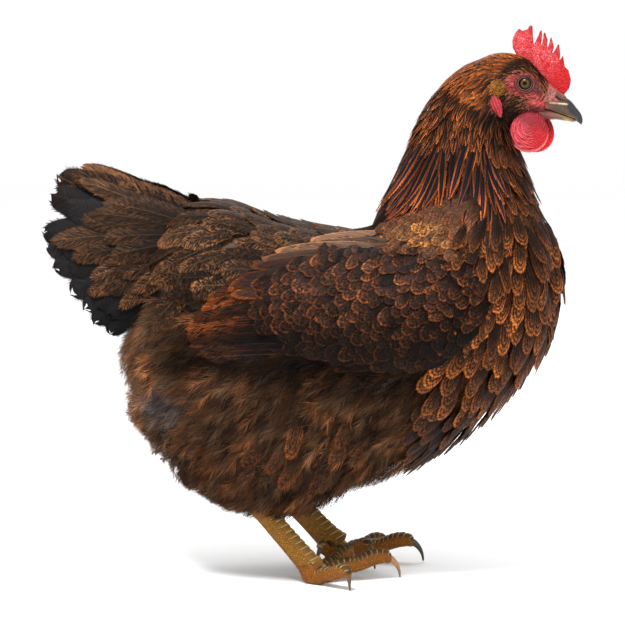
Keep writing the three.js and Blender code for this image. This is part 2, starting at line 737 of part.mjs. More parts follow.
for (const [name, mirror] of Object.entries(SIDES)) {
  keep(`eye_${name}`, eyeBall(mirror, 0), 0x6a4418, 0.1);
  const flap = wrap(12, 8, (unit) => {
    const hang = (1 - unit.y) / 2;
    const x = WATTLE.x + WATTLE_AHEAD[name] + WATTLE.reach * unit.x * (0.82 + 0.22 * hang);
    const z = WATTLE.z + WATTLE.drop * unit.y;
    const fold = 1.2 * Math.sin(unit.x * 2.4);
    const y = WATTLE.side + WATTLE.splay * WATTLE.drop * hang + fold * hang;
    return V(x, mirror * (y + WATTLE.thick * unit.z * (1.25 - 0.4 * hang)), z);
  });
  keep(`wattle_${name}`, without(flap, [...skullCutters(), ...beakCuts]), RED, 0.5);
  const lobe = faceLens(EARLOBE, mirror, 0);
  keep(`earlobe_${name}`, without(lobe, [...skullCutters(), faceLens(EAR_TUFT, mirror, GAP)]), RED, 0.5);
}

// ---------- legs ----------
function toeRings(toe) {
  const rings = [closed(-4, 8)];
  for (const { at, low, deep, wide } of TOE_SHAPE) {
    const radius = (toe.thick / 2) * deep;
    const height = low > 0 ? low * toe.arch : low;
    rings.push({ p: [toe.reach * at, 0, height + radius], wide: (toe.thick / 2) * wide, deep: radius });
  }
  const { p, deep } = rings[rings.length - 1];
  rings.push(closed(p[0] + deep * 0.8, p[2]));
  return rings;
}
function clawRings(toe) {
  const end = toeRings(toe)[TOE_SHAPE.length].p;
  const rings = [closed(end[0] - 3, end[2] + 1)];
  const steps = 4;
  for (let k = 0; k <= steps; k += 1) {
    const s = k / steps;
    const x = end[0] - 1.8 + toe.claw * toe.hook * Math.sin(s * 1.5);
    const z = mix(end[2] + 1, 0.5, s ** 1.6);
    rings.push({ p: [x, 0, z], wide: mix(2.4, 0.7, s), deep: mix(3.1, 0.8, s) });
  }
  rings.push(closed(rings[rings.length - 1].p[0] + 0.1, -0.4));
  return rings;
}
for (const [name, mirror] of Object.entries(SIDES)) {
  const [ax, ay, az] = ANKLE[name];
  const [back, up] = SHANK.rise[name];
  const shankRings = [
    closed(ax + back - 3, az + up + 3),
    ...[1, 0.8, 0.6, 0.4, 0.2, 0.06, -0.04].map((s) => ({
      p: [ax + back * s, 0, az + up * s],
      wide: SHANK.wide * (1 + 0.25 * (2 * s - 1) ** 4),
      deep: SHANK.deep * (1 + 0.16 * (2 * s - 1) ** 4),
    })),
    closed(ax + 6, az - 5),
  ];
  const shank = sweep(shankRings, 10, { origin: [0, ay, 0], floor: 0 });
  const toes = TOES.map((toe) => {
    const place = { turn: mirror * toe.turn[name], origin: [ax, ay, 0], floor: 0 };
    return { ...toe, solidAt: (rings) => sweep(rings, 8, place) };
  });
  const pad = new THREE.SphereGeometry(1, 10, 6);
  pad.scale(10, 9, 9);
  pad.translate(ax + 3, ay, 6.5);
  const soles = pad.getAttribute("position");
  for (let i = 0; i < soles.count; i += 1) soles.setZ(i, Math.max(0, soles.getZ(i)));
  const whole = joined([shank, solid(weld(pad)), ...toes.map((toe) => toe.solidAt(toeRings(toe)))]);
  // The foot is parted from the shank square to the shank, a little above the ankle.
  const lean = THREE.MathUtils.radToDeg(Math.atan2(up, -back));
  const cut = (grow) => {
    const box = new THREE.BoxGeometry(BLOCK, BLOCK, BLOCK);
    box.translate(-BLOCK / 2 + grow, 0, 0);
    box.rotateY(radians(lean));
    box.translate(ax - 12, ay, az + 12);
    return solid(weld(box));
  };
  const claws = toes.map((toe) => toe.solidAt(clawRings(toe)));
  const clawSockets = toes.map((toe) => toe.solidAt(grown(clawRings(toe), GAP)));
  keep(`foot_${name}`, without(whole, [cut(GAP), ...clawSockets]), YELLOW, 0.6);
  const fleshHere = [...fleshCutters(), thighLoft.solid(...THIGH_FACETS, { mirror, grow: GROW })];
  keep(`shank_${name}`, without(whole.intersect(cut(0)), fleshHere), YELLOW, 0.6);
  toes.forEach((toe, i) => keep(`claw_${toe.name}_${name}`, claws[i], HORN, 0.4));
}

// ---------- the group ----------
const hen = new THREE.Group();
for (const [name, { body, colour, roughness }] of nodes) {
  const made = body.getMesh();
  const geometry = new THREE.BufferGeometry();
  const points = new Float32Array(made.numVert * 3);
  for (let i = 0; i < made.numVert; i += 1) {
    points.set(made.vertProperties.subarray(i * made.numProp, i * made.numProp + 3), i * 3);
  }
  geometry.setAttribute("position", new THREE.BufferAttribute(points, 3));
  geometry.setIndex(new THREE.BufferAttribute(made.triVerts, 1));
  const material = new THREE.MeshStandardMaterial({ color: colour, roughness, metalness: 0 });
  const mesh = new THREE.Mesh(geometry, material);
  mesh.name = name;
  hen.add(mesh);
}
// The origin is on the floor under the middle of the hen.
const extent = new THREE.Box3().setFromObject(hen);
const middle = extent.getCenter(V(0, 0, 0));
hen.position.set(-middle.x, -middle.y, -extent.min.z);

export default hen;
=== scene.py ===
from itertools import product
from types import SimpleNamespace

import bpy
import numpy as np
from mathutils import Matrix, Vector, noise
from mathutils.bvhtree import BVHTree
from numpy import (
    arange, arctan2, array, clip, concatenate, cos, cross, exp, hypot,
    interp, linspace, maximum, minimum, ones, pi, radians, sin, sqrt, zeros,
)
from numpy.linalg import norm
from numpy.random import default_rng


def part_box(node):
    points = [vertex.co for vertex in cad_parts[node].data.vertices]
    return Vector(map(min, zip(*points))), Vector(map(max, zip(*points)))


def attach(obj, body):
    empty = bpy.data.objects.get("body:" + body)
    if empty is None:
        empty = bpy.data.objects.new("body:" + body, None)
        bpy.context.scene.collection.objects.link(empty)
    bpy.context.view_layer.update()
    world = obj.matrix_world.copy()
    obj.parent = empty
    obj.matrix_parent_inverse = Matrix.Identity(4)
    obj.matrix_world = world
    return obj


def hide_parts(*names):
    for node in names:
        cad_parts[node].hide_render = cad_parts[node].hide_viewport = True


bl_info = {
    "name": "Laced Hen",
    "version": (1, 0, 0),
    "blender": (4, 5, 0),
    "location": "View3D > Sidebar > Hen",
    "description": "A standing brown laced hen at life size",
    "category": "Object",
}

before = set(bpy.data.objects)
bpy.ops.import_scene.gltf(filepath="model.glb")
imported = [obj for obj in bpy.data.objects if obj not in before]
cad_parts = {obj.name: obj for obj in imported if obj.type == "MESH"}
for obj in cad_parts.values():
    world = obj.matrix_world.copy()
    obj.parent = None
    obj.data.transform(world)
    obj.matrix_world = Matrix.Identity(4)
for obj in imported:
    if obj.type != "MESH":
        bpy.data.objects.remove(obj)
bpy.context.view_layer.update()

# The hen's plan is in millimetres: x forward, y to the hen's left, z up.
MM = 0.001
SIDES = {"right": -1, "left": 1}
EYE = SimpleNamespace(x=155.4, z=354.9, radius=5.6, out=11.9)
EYE_BOX = [array(corner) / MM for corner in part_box("eye_right")]
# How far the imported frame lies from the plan.
SHIFT = array([(EYE_BOX[0][0] + EYE_BOX[1][0]) / 2 - EYE.x, 0, (EYE_BOX[0][2] + EYE_BOX[1][2]) / 2 - EYE.z])

# ---------- the plan of the flesh ----------
# A row is the place along the body, the low and high edge of its section, and its half width.
TORSO = (
    (-124, 104, 204, 36), (-109, 84, 250, 57), (-71, 60, 271, 74), (-30, 54.5, 261, 79), (10, 59.5, 255, 80),
    (50, 69, 252, 78), (89, 88, 256, 73), (127, 116, 262, 64), (160, 153, 257, 46),
)
NECK = (
    (201, 40, 180, 62), (229, 40, 180, 62), (246, 41.5, 174.5, 57), (262.5, 47.5, 167.5, 51),
    (282, 56.5, 159.4, 43.5), (304, 65.3, 151.5, 36.5), (325.5, 75, 145, 30.5), (347, 87.7, 145, 25.5),
    (364.5, 104.2, 148.8, 20.5), (374.3, 119.7, 148.7, 14),
)
HEAD = (
    (127.5, 328.4, 375.8, 19.5), (145, 329.4, 377.2, 18.5), (156.5, 331.3, 373.2, 16.5), (168, 332.7, 361, 13),
    (178.7, 335.6, 350.7, 8.8),
)
THIGH = (
    (-80, 63, 126, 24), (-50, 47, 156, 36), (-22, 43.5, 166, 41), (8, 50, 162, 39), (38, 67, 146, 30),
)
# The sides of the tail meet at the roof and spread downwards from it.
TAIL_ROOF = 300
TAIL_SPREAD = 0.33
TAIL_CORE = SimpleNamespace(x=-114, z=231, reach=50, rise=55, lean=7)
WING_CORE = SimpleNamespace(x=52, z=200, reach=80, rise=46, thick=10, tilt=-0.1)
# How deep the coat lies over the flesh.
COAT = SimpleNamespace(torso=6, neck=3.5, head=0.9, thigh=6.5, tail=6, wing=4)
VOXEL = 2.6  # the voxels that the skin is fused with
# The head begins above the line from nape to throat: a point on it, and its turn in degrees.
HEAD_LINE = (86, 354.5, -31)
# The folded wing's outline from the side.
WING_OUTLINE = (
    (105, 262), (130, 206), (125, 174), (80, 149), (24, 157),
    (-71, 163), (-74, 180), (-40, 228), (-21, 240), (60, 256),
)
# The bare skin round the eye, the fold at the gape and the cere, from the side.
BARE_EYE = (
    (141, 357.5), (148, 361.6), (158.2, 362), (164.5, 357.5), (166.5, 351), (170, 346),
    (169, 342), (161.4, 343), (155.3, 344.8), (146.5, 348.4), (142.2, 352.5),
)
BARE_GAPE = ((156, 341.2), (163, 344), (172, 343), (170, 335), (163, 334.5), (157.5, 337.5))
BARE_CERE = ((171.6, 349), (172.4, 360), (188, 356), (190, 338), (176, 338), (169, 343.5))
BARE = (BARE_EYE, BARE_GAPE, BARE_CERE)
# The lie of the coat from the side: a place (x, z) and the way (dx, dz) that feathers point there.
LIE = (
    (150, 374, -1, 0), (130, 372, -1, -0.25), (168, 352, -0.4, 0.9), (164, 365, -0.8, 0.5),
    (150, 338, -0.9, -0.35), (140, 335, -0.7, -0.7), (125, 350, -0.8, -0.6), (105, 365, -0.7, -0.7),
    (90, 345, -0.35, -0.95), (78, 320, -0.3, -1), (65, 295, -0.35, -1), (50, 272, -0.55, -0.85),
    (110, 320, -0.1, -1), (105, 290, -0.12, -1), (100, 262, -0.2, -1), (145, 320, 0.05, -1),
    (150, 300, 0.2, -1), (160, 280, 0.3, -1), (172, 255, 0.25, -1), (182, 225, 0.1, -1),
    (186, 205, 0, -1), (180, 175, -0.35, -0.95), (165, 150, -0.65, -0.75), (145, 128, -0.75, -0.65),
    (120, 105, -0.85, -0.5), (90, 88, -0.9, -0.4), (60, 72, -0.9, -0.3), (150, 220, -0.1, -1),
    (150, 180, -0.3, -0.95), (130, 240, -0.15, -1), (130, 150, -0.5, -0.85), (20, 250, -1, -0.1),
    (-20, 262, -1, 0.05), (-60, 272, -1, 0.1), (-100, 278, -1, 0.3), (-130, 290, -1, 0.2),
    (-60, 245, -1, -0.15), (-90, 235, -1, -0.05), (-130, 260, -1, 0.2), (-130, 225, -1, -0.1),
    (-120, 190, -0.9, -0.4), (-60, 210, -1, -0.35), (-90, 190, -0.9, -0.5), (80, 240, -1, -0.25),
    (60, 215, -1, -0.15), (100, 200, -0.9, -0.35), (60, 180, -1, -0.1), (0, 200, -1, -0.05),
    (40, 240, -1, -0.1), (40, 130, -0.75, -0.6), (0, 120, -0.6, -0.8), (-40, 110, -0.7, -0.8),
    (-80, 120, -0.85, -0.6), (-110, 130, -0.95, -0.45), (-60, 70, -0.7, -0.75), (0, 60, -0.6, -0.8),
    (-110, 160, -0.9, -0.4),
)
# The body's middle line from tail to beak, along which the skin is unwrapped.
SPINE = (
    (-200, 255), (-110, 225), (-60, 165), (20, 155), (90, 180), (108, 235), (105, 300), (125, 345), (195, 340),
)
# The rear edge of the breast from the side: heights, and x at each.
BREAST_EDGE = ((80, 120, 160, 200, 240, 262), (84, 92, 104, 116, 96, 84))
BAKE_PATCH = 0.003  # the width of a feather's own patch on the unwrap
SLOPE_STEP = 1.5  # how far apart a side's slope is measured, to each side


# ---------- helpers for numbers ----------
def mix(a, b, t):
    return a + (b - a) * t


def blend(a, b, shares):
    """Mixes colours by a share for each point."""
    return mix(a, b, shares[:, None])


def layered(tone, *layers):
    """Lays colours over a tone, each as (colour, share for each point)."""
    for colour, shares in layers:
        tone = blend(tone, colour, shares)
    return tone


def stacked(*parts):
    return np.stack(parts, axis=-1)


def ease(low, high, x):
    t = clip((x - low) / (high - low), 0, 1)
    return t * t * (3 - 2 * t)


def unit(v):
    return v / maximum(norm(v, axis=-1, keepdims=True), 1e-9)


def signed_power(x, power):
    return np.sign(x) * np.abs(x) ** power


def through(places, values, at):
    """A smooth value at each place, through the given values."""
    places, values = np.asarray(places, float), np.asarray(values, float)
    last = len(places) - 1
    index = arange(last + 1)
    before, after = maximum(index - 1, 0), minimum(index + 1, last)
    slope = (values[after] - values[before]) / (places[after] - places[before])
    at = clip(at, places[0], places[-1])
    i = clip(np.searchsorted(places, at) - 1, 0, last - 1)
    span = places[i + 1] - places[i]
    t = (at - places[i]) / span
    bend = t * (1 - t) * span
    return (
        mix(values[i], values[i + 1], t * t * (3 - 2 * t)) + slope[i] * bend * (1 - t) - slope[i + 1] * bend * t
    )


def beyond(line, x, z):
    """The signed distance above a line given by a point and its turn in degrees."""
    turn = radians(line[2])
    return (z - line[1]) * cos(turn) - (x - line[0]) * sin(turn)


def segment_distance(x, z, start, end):
    a, b = array(start, float), array(end, float)
    along = b - a
    t = clip(((x - a[0]) * along[0] + (z - a[1]) * along[1]) / (along @ along), 0, 1)
    return hypot(x - a[0] - t * along[0], z - a[1] - t * along[1])


def outline_distance(outline, x, z):
    """The signed distance to an outline, below 0 inside it."""
    corners = array(outline, float)
    nearest, inside = np.full(len(x), 1e9), zeros(len(x), bool)
    for a, b in zip(corners, np.roll(corners, -1, axis=0)):
        nearest = minimum(nearest, segment_distance(x, z, a, b))
        crosses = (a[1] > z) != (b[1] > z)
        inside ^= crosses & (x < a[0] + (b[0] - a[0]) * (z - a[1]) / ((b[1] - a[1]) or 1e-9))
    return np.where(inside, -nearest, nearest)


def bare_distance(x, z):
    return np.min([outline_distance(outline, x, z) for outline in BARE], axis=0)


def rough_noise(points, size, octaves=2):
    """Smooth noise from about -1 to 1 at each point, with features of a size in millimetres."""
    return array([noise.fractal(Vector(p / size), 0.8, 2, octaves) for p in points])


def rgb(*channels):
    return array(srgb(*channels))


def srgb(*channels):
    """A colour given as 0 to 255 on a screen, in the renderer's linear values."""
    return tuple(((c / 255 + 0.055) / 1.055) ** 2.4 if c > 10 else c / 255 / 12.92 for c in channels)


class Loft:
    """A body whose sections follow the rows of its plan, with round ends."""

    def __init__(self, rows, start, end, power, upright=False, side=0):
        table = array(rows, float)
        self.centre, self.reach = (start + end) / 2, (end - start) / 2
        self.power, self.upright, self.side = power, upright, side
        self.at = table[:, 0]
        round_off = self.round_off(self.at)
        self.middle = (table[:, 1] + table[:, 2]) / 2
        self.rise = (table[:, 2] - table[:, 1]) / 2 / round_off
        self.half = table[:, 3] / round_off

    def round_off(self, at):
        return sqrt(maximum(1e-9, 1 - ((at - self.centre) / self.reach) ** 2))

    def section(self, at):
        round_off = self.round_off(at)
        return (
            through(self.at, self.middle, at),
            through(self.at, self.rise, at) * round_off,
            through(self.at, self.half, at) * round_off,
        )

    def point(self, units, grow=0, mirror=1):
        at = self.centre + self.reach * units[:, 2]
        middle, rise, half = self.section(at)
        turn = arctan2(units[:, 1], units[:, 0])
        edge = hypot(units[:, 0], units[:, 1])
        up = middle + signed_power(sin(turn), 2 / self.power) * (rise + grow * edge)
        out = mirror * (self.side + signed_power(cos(turn), 2 / self.power) * (half + grow * edge))
        along = at + grow * units[:, 2]
        return np.stack([up, out, along] if self.upright else [along, out, up], axis=1)

    def side_at(self, x, z):
        """How far the body reaches sideways at (x, z), or 0 outside it."""
        at, across = (z, x) if self.upright else (x, z)
        middle, rise, half = self.section(at)
        inside = 1 - np.abs((across - middle) / maximum(rise, 1e-6)) ** self.power
        held = (np.abs(at - self.centre) < self.reach) & (inside > 0)
        return np.where(held, self.side + half * maximum(inside, 0) ** (1 / self.power), 0)


torso_loft = Loft(TORSO, -138, 184, 2.15)
neck_loft = Loft(NECK, 169, 378, 2, upright=True)
head_loft = Loft(HEAD, 110, 186.5, 2.3)
thigh_loft = Loft(THIGH, -98, 64, 2, side=43)


def body_side(x, z):
    return np.max([loft.side_at(x, z) for loft in (torso_loft, neck_loft, thigh_loft)], axis=0)


def wing_bulge(x, z):
    across = (x - WING_CORE.x) / WING_CORE.reach
    up = (z - WING_CORE.z - WING_CORE.tilt * (x - WING_CORE.x)) / WING_CORE.rise
    return WING_CORE.thick * sqrt(maximum(0, 1 - across**2 - up**2))


def wing_side(x, z):
    return body_side(x, z) + wing_bulge(x, z)


def tail_side(x, z):
    return 1.2 + TAIL_SPREAD * maximum(0, TAIL_ROOF - z)


def tail_core_point(units, grow=0):
    x = TAIL_CORE.x + (TAIL_CORE.reach + grow) * units[:, 0]
    z = TAIL_CORE.z + (TAIL_CORE.rise + grow) * units[:, 2] - TAIL_CORE.lean * units[:, 0]
    broad = signed_power(units[:, 1], 0.7)
    return stacked(x, broad * maximum(0.6, tail_side(x, z) + 1.6 + grow), z)


def wing_core_point(units, mirror, grow=0):
    core = WING_CORE
    x = core.x + (core.reach + grow) * units[:, 0]
    z = core.z + (core.rise + grow) * units[:, 2] + core.tilt * core.reach * units[:, 0]
    return stacked(x, mirror * (body_side(x, z) - 6 + (core.thick + 6 + grow) * units[:, 1]), z)


def unwrap(points):
    """Each point's place on the skin's unwrap: its turn round the spine, and its place along it."""
    spine = array(SPINE, float)
    legs = np.diff(spine, axis=0)
    lengths = norm(legs, axis=1)
    ends = np.cumsum(lengths)
    found = []
    for a, leg, length, end in zip(spine, legs, lengths, ends):
        away = points[:, [0, 2]] - a
        t = clip(away @ leg / length**2, 0, 1)
        off = away - t[:, None] * leg
        turn = arctan2(points[:, 1], off @ array([-leg[1], leg[0]]) / length)
        found.append((norm(off, axis=1), 0.5 + 0.48 * turn / pi, 0.02 + 0.96 * (end + (t - 1) * length) / ends[-1]))
    found = array(found)
    return found[found[:, 0].argmin(axis=0), 1:, arange(len(points))]


# ---------- helpers for meshes ----------
def read(items, key, width=3):
    """One of a mesh's arrays, with a row for each item."""
    flat = np.empty(len(items) * width, np.float32)
    items.foreach_get(key, flat)
    return flat.reshape(-1, width).astype(float)


def plan_points(piece):
    """A finished piece's points in the plan's millimetres."""
    return read(piece.data.vertices, "co") / MM - SHIFT


def place_points(piece, points):
    """Moves a piece's points to places given in the plan's millimetres."""
    piece.data.vertices.foreach_set("co", ((points + SHIFT) * MM).astype(np.float32).ravel())
    piece.data.update()


def normals_of(piece):
    return read(piece.data.vertices, "normal")


def add_sphere(name, place, around=48, rings=32):
    """A sphere whose every point is moved by place(unit points)."""
    bpy.ops.object.select_all(action="DESELECT")
    bpy.ops.mesh.primitive_uv_sphere_add(segments=around, ring_count=rings, radius=1)
    piece = bpy.context.object
    piece.name = name
    place_points(piece, place(unit(read(piece.data.vertices, "co"))))
    face_outwards(piece)
    return piece


def pick(*pieces):
    """Selects these pieces alone and makes the first one active."""
    bpy.ops.object.select_all(action="DESELECT")
    for piece in pieces:
        piece.select_set(True)
    bpy.context.view_layer.objects.active = pieces[0]


def in_edit(piece, *steps):
    """Runs edit mode steps on all of a piece."""
    pick(piece)
    bpy.ops.object.mode_set(mode="EDIT")
    bpy.ops.mesh.select_all(action="SELECT")
    for step in steps:
        step()
    bpy.ops.object.mode_set(mode="OBJECT")


def face_outwards(piece):
    in_edit(
        piece,
        lambda: bpy.ops.mesh.remove_doubles(threshold=1e-6),
        lambda: bpy.ops.mesh.normals_make_consistent(inside=False),
    )


def apply_modifier(piece, kind, **settings):
    pick(piece)
    modifier = piece.modifiers.new(kind.lower(), kind)
    for key, value in settings.items():
        setattr(modifier, key, value)
    bpy.ops.object.modifier_apply(modifier=modifier.name)


def fused(pieces, name, voxel, smooth):
    """One closed skin over overlapping bodies."""
    pick(*pieces)
    bpy.ops.object.join()
    piece = bpy.context.object
    piece.name = name
    apply_modifier(piece, "REMESH", mode="VOXEL", voxel_size=voxel * MM)
    apply_modifier(piece, "SMOOTH", factor=0.5, iterations=smooth)
    return piece


def refine(piece, where, smooth):
    """Splits the faces whose centres where(x, y, z) picks, in plan millimetres, and smooths them."""
    mesh = piece.data
    picked = where(*(read(mesh.polygons, "center") / MM - SHIFT).T)
    pick(piece)
    mesh.vertices.foreach_set("select", zeros(len(mesh.vertices), bool))
    mesh.edges.foreach_set("select", zeros(len(mesh.edges), bool))
    mesh.polygons.foreach_set("select", picked)
    bpy.ops.object.mode_set(mode="EDIT")
    bpy.context.tool_settings.mesh_select_mode = (False, False, True)
    bpy.ops.mesh.subdivide(number_cuts=1)
    bpy.ops.mesh.vertices_smooth(factor=0.5, repeat=smooth)
    bpy.ops.object.mode_set(mode="OBJECT")


def set_field(mesh, name, values):
    """A value or a colour at each point, for the materials."""
    values = np.asarray(values, np.float32)
    if values.ndim == 1:
        mesh.attributes.new(name, "FLOAT", "POINT").data.foreach_set("value", values)
        return
    if values.shape[1] == 3:
        values = concatenate([values, ones((len(values), 1), np.float32)], axis=1)
    mesh.attributes.new(name, "FLOAT_COLOR", "POINT").data.foreach_set("color", values.ravel())


def linked(name, data):
    """A new object of this data, in the scene."""
    piece = bpy.data.objects.new(name, data)
    bpy.context.collection.objects.link(piece)
    return piece


def array_piece(name, points, quads, triangles, fields, maps):
    """A piece joined from arrays: points in plan millimetres, fields at points, maps of UV at points."""
    mesh = bpy.data.meshes.new(name)
    mesh.vertices.add(len(points))
    mesh.vertices.foreach_set("co", ((points + SHIFT) * MM).astype(np.float32).ravel())
    corners = concatenate([quads.ravel(), triangles.ravel()]).astype(np.int32)
    starts = concatenate([arange(len(quads)) * 4, len(quads) * 4 + arange(len(triangles)) * 3])
    mesh.loops.add(len(corners))
    mesh.loops.foreach_set("vertex_index", corners)
    mesh.polygons.add(len(starts))
    mesh.polygons.foreach_set("loop_start", starts.astype(np.int32))
    mesh.polygons.foreach_set("use_smooth", ones(len(starts), bool))
    for key, uv in maps.items():
        mesh.uv_layers.new(name=key).data.foreach_set("uv", uv[corners].astype(np.float32).ravel())
    for key, values in fields.items():
        set_field(mesh, key, values)
    mesh.update(calc_edges=True)
    mesh.validate()
    return linked(name, mesh)


def finish_piece(piece, material, slot, *nodes):
    """Gives a piece its material, hides the nodes that it stands for, and sets it riding. The slot is not used."""
    piece.data.materials.clear()
    piece.data.materials.append(material)
    if nodes:
        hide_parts(*nodes)
    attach(piece, "root")
    return piece


def finish_toned(piece, tone, material, slot, *nodes):
    """Finishes a smooth piece that has its own colour at each point."""
    set_field(piece.data, "tone", clip(tone, 0, 1))
    pick(piece)
    bpy.ops.object.shade_smooth()
    finish_piece(piece, material, slot, *nodes)


class Floor:
    """The skin under the coat, asked for its nearest points and their outward ways, in plan millimetres."""

    def __init__(self, piece):
        mesh = piece.data
        self.points = plan_points(piece)
        corners = [tuple(polygon.vertices) for polygon in mesh.polygons]
        self.tree = BVHTree.FromPolygons([tuple(p) for p in self.points], corners)
        normals = normals_of(piece)
        self.ways = unit(array([normals[list(c)].mean(axis=0) for c in corners]))
        self.centres = array([self.points[list(c)].mean(axis=0) for c in corners])
        self.areas = read(mesh.polygons, "area", 1)[:, 0] / MM**2

    def nearest(self, points):
        found = [self.tree.find_nearest(p) for p in points.reshape(-1, 3).tolist()]
        places = array([f[0] for f in found]).reshape(points.shape)
        ways = self.ways[[f[2] for f in found]].reshape(points.shape)
        return places, ways


FLOOR = {}


def lie_at(points):
    """The way that the coat points at each place, from the side."""
    table = array(LIE, float)
    away = points[:, None, [0, 2]] - table[None, :, :2]
    near = 1 / (np.sum(away**2, axis=2) + 40) ** 2
    way = near @ table[:, 2:]
    return unit(stacked(way[:, 0], zeros(len(points)), way[:, 1]))


def turned(way, axis, angle):
    """Each way turned about its axis."""
    c, s = cos(angle)[:, None], sin(angle)[:, None]
    return way * c + cross(axis, way) * s


def spread_roots(allowed, spacing, draw):
    """Evenly spread places on the skin where allowed(x, y, z) holds, spacing millimetres apart."""
    floor = FLOOR["skin"]
    open_faces = np.nonzero(allowed(*floor.centres.T))[0]
    areas = floor.areas[open_faces]
    count = int(7 * areas.sum() / spacing**2)
    faces = draw.choice(open_faces, count, p=areas / areas.sum())
    jitter = draw.uniform(-1, 1, (count, 3)) * sqrt(floor.areas[faces])[:, None] * 0.6
    ways = floor.ways[faces]
    jitter -= np.sum(jitter * ways, axis=1, keepdims=True) * ways
    places = floor.centres[faces] + jitter
    cells = {}
    kept = []
    for i, (p, key) in enumerate(zip(places.tolist(), np.floor(places / spacing).astype(int).tolist())):
        around = product(*((k - 1, k, k + 1) for k in key))
        near = (places[j] for cell in around for j in cells.get(cell, ()))
        if all((p[0] - q[0]) ** 2 + (p[1] - q[1]) ** 2 + (p[2] - q[2]) ** 2 > spacing**2 for q in near):
            cells.setdefault(tuple(key), []).append(i)
            kept.append(i)
    return floor.nearest(places[kept])[0]


# ---------- feathers ----------
# Places along a feather, closer together towards its tip.
VANE_STEPS = array([0, 0.2, 0.4, 0.56, 0.7, 0.82, 0.91, 0.97, 1])
LONG_STEPS = array([0, 0.1, 0.2, 0.3, 0.4, 0.5, 0.6, 0.7, 0.79, 0.87, 0.93, 0.97, 0.992, 1])
SHORT_STEPS = array([0, 0.4, 0.75, 1])
TIP_START = 0.62  # where a broad feather's outline starts to round off
POINTED_SPREAD = 1.5  # how much wider a pointed feather's coloured rims are


def broad_share(t):
    """The half width of a broad feather along its length, as a share of the widest."""
    body = 0.55 + 0.45 * ease(-0.05, 0.55, t)
    tip = sqrt(maximum(0, 1 - (maximum(0, t - TIP_START) / (1 - TIP_START)) ** 2.2))
    return body * tip


def pointed_share(t):
    return interp(t, [0, 0.3, 0.6, 0.85, 1], [0.55, 1, 0.92, 0.5, 0])


def vane_grid(line, across, up, width, steps, pointed, columns, camber):
    """Points of every vane as (feather, step, column, xyz), with their UV."""
    share = pointed_share(steps) if pointed else broad_share(steps)
    j = linspace(-1, 1, columns)
    half = width[:, None] / 2 * share
    sideways = half[:, :, None] * j
    points = line[:, :, None] + across[:, :, None] * sideways[..., None]
    points = points - up[:, :, None] * (camber * half[:, :, None] * np.abs(j) ** 1.6)[..., None]
    x = np.broadcast_to(j * POINTED_SPREAD if pointed else j * share[:, None], sideways.shape)
    v = steps * TIP_START * 0.98 if pointed else steps
    return points, stacked(0.5 + 0.5 * x, np.broadcast_to(v[:, None], sideways.shape))


def grid_faces(count, rows, columns):
    """The quads of count grids of rows by columns points, each grid after the other."""
    i, k = np.meshgrid(arange(rows - 1), arange(columns - 1), indexing="ij")
    a = (i * columns + k).ravel()
    quads = stacked(a, a + 1, a + columns + 1, a + columns)
    return (arange(count)[:, None, None] * rows * columns + quads).reshape(-1, 4)


def fringe(grid, uv, steps, places, length, draw):
    """Loose barbs on both edges of each vane: slivers that lean towards the tip."""
    count = len(grid)
    made, maps = [], []

    def at(values, t):
        t = clip(t, 0, 1)
        i = clip(np.searchsorted(steps, t, side="right") - 1, 0, len(steps) - 2)
        return blend(values[:, i], values[:, i + 1], (t - steps[i]) / (steps[i + 1] - steps[i]))

    for column, inner in ((0, 1), (-1, -2)):
        edge, edge_uv = grid[:, :, column], uv[:, :, column]
        outward = unit(edge - grid[:, :, inner])
        further = places + (places[1] - places[0]) * 0.9
        base, ahead = at(edge, places), at(edge, further)
        onward = unit(at(edge, places + 0.03) - at(edge, places - 0.03) + 1e-6)
        lean = unit(at(outward, places) * 0.75 + onward)
        reach = length * draw.uniform(0.3, 1, (count, len(places), 1))
        wild = draw.normal(0, 0.16, (count, len(places), 3))
        made.append(np.stack([base, ahead, mix(base, ahead, 0.7) + unit(lean + wild) * reach], axis=2))
        ahead_uv = at(edge_uv, further)
        maps.append(np.stack([at(edge_uv, places), ahead_uv, ahead_uv * 1.02], axis=2))
    return concatenate(made, axis=1).reshape(count, -1, 3), concatenate(maps, axis=1).reshape(count, -1, 2)


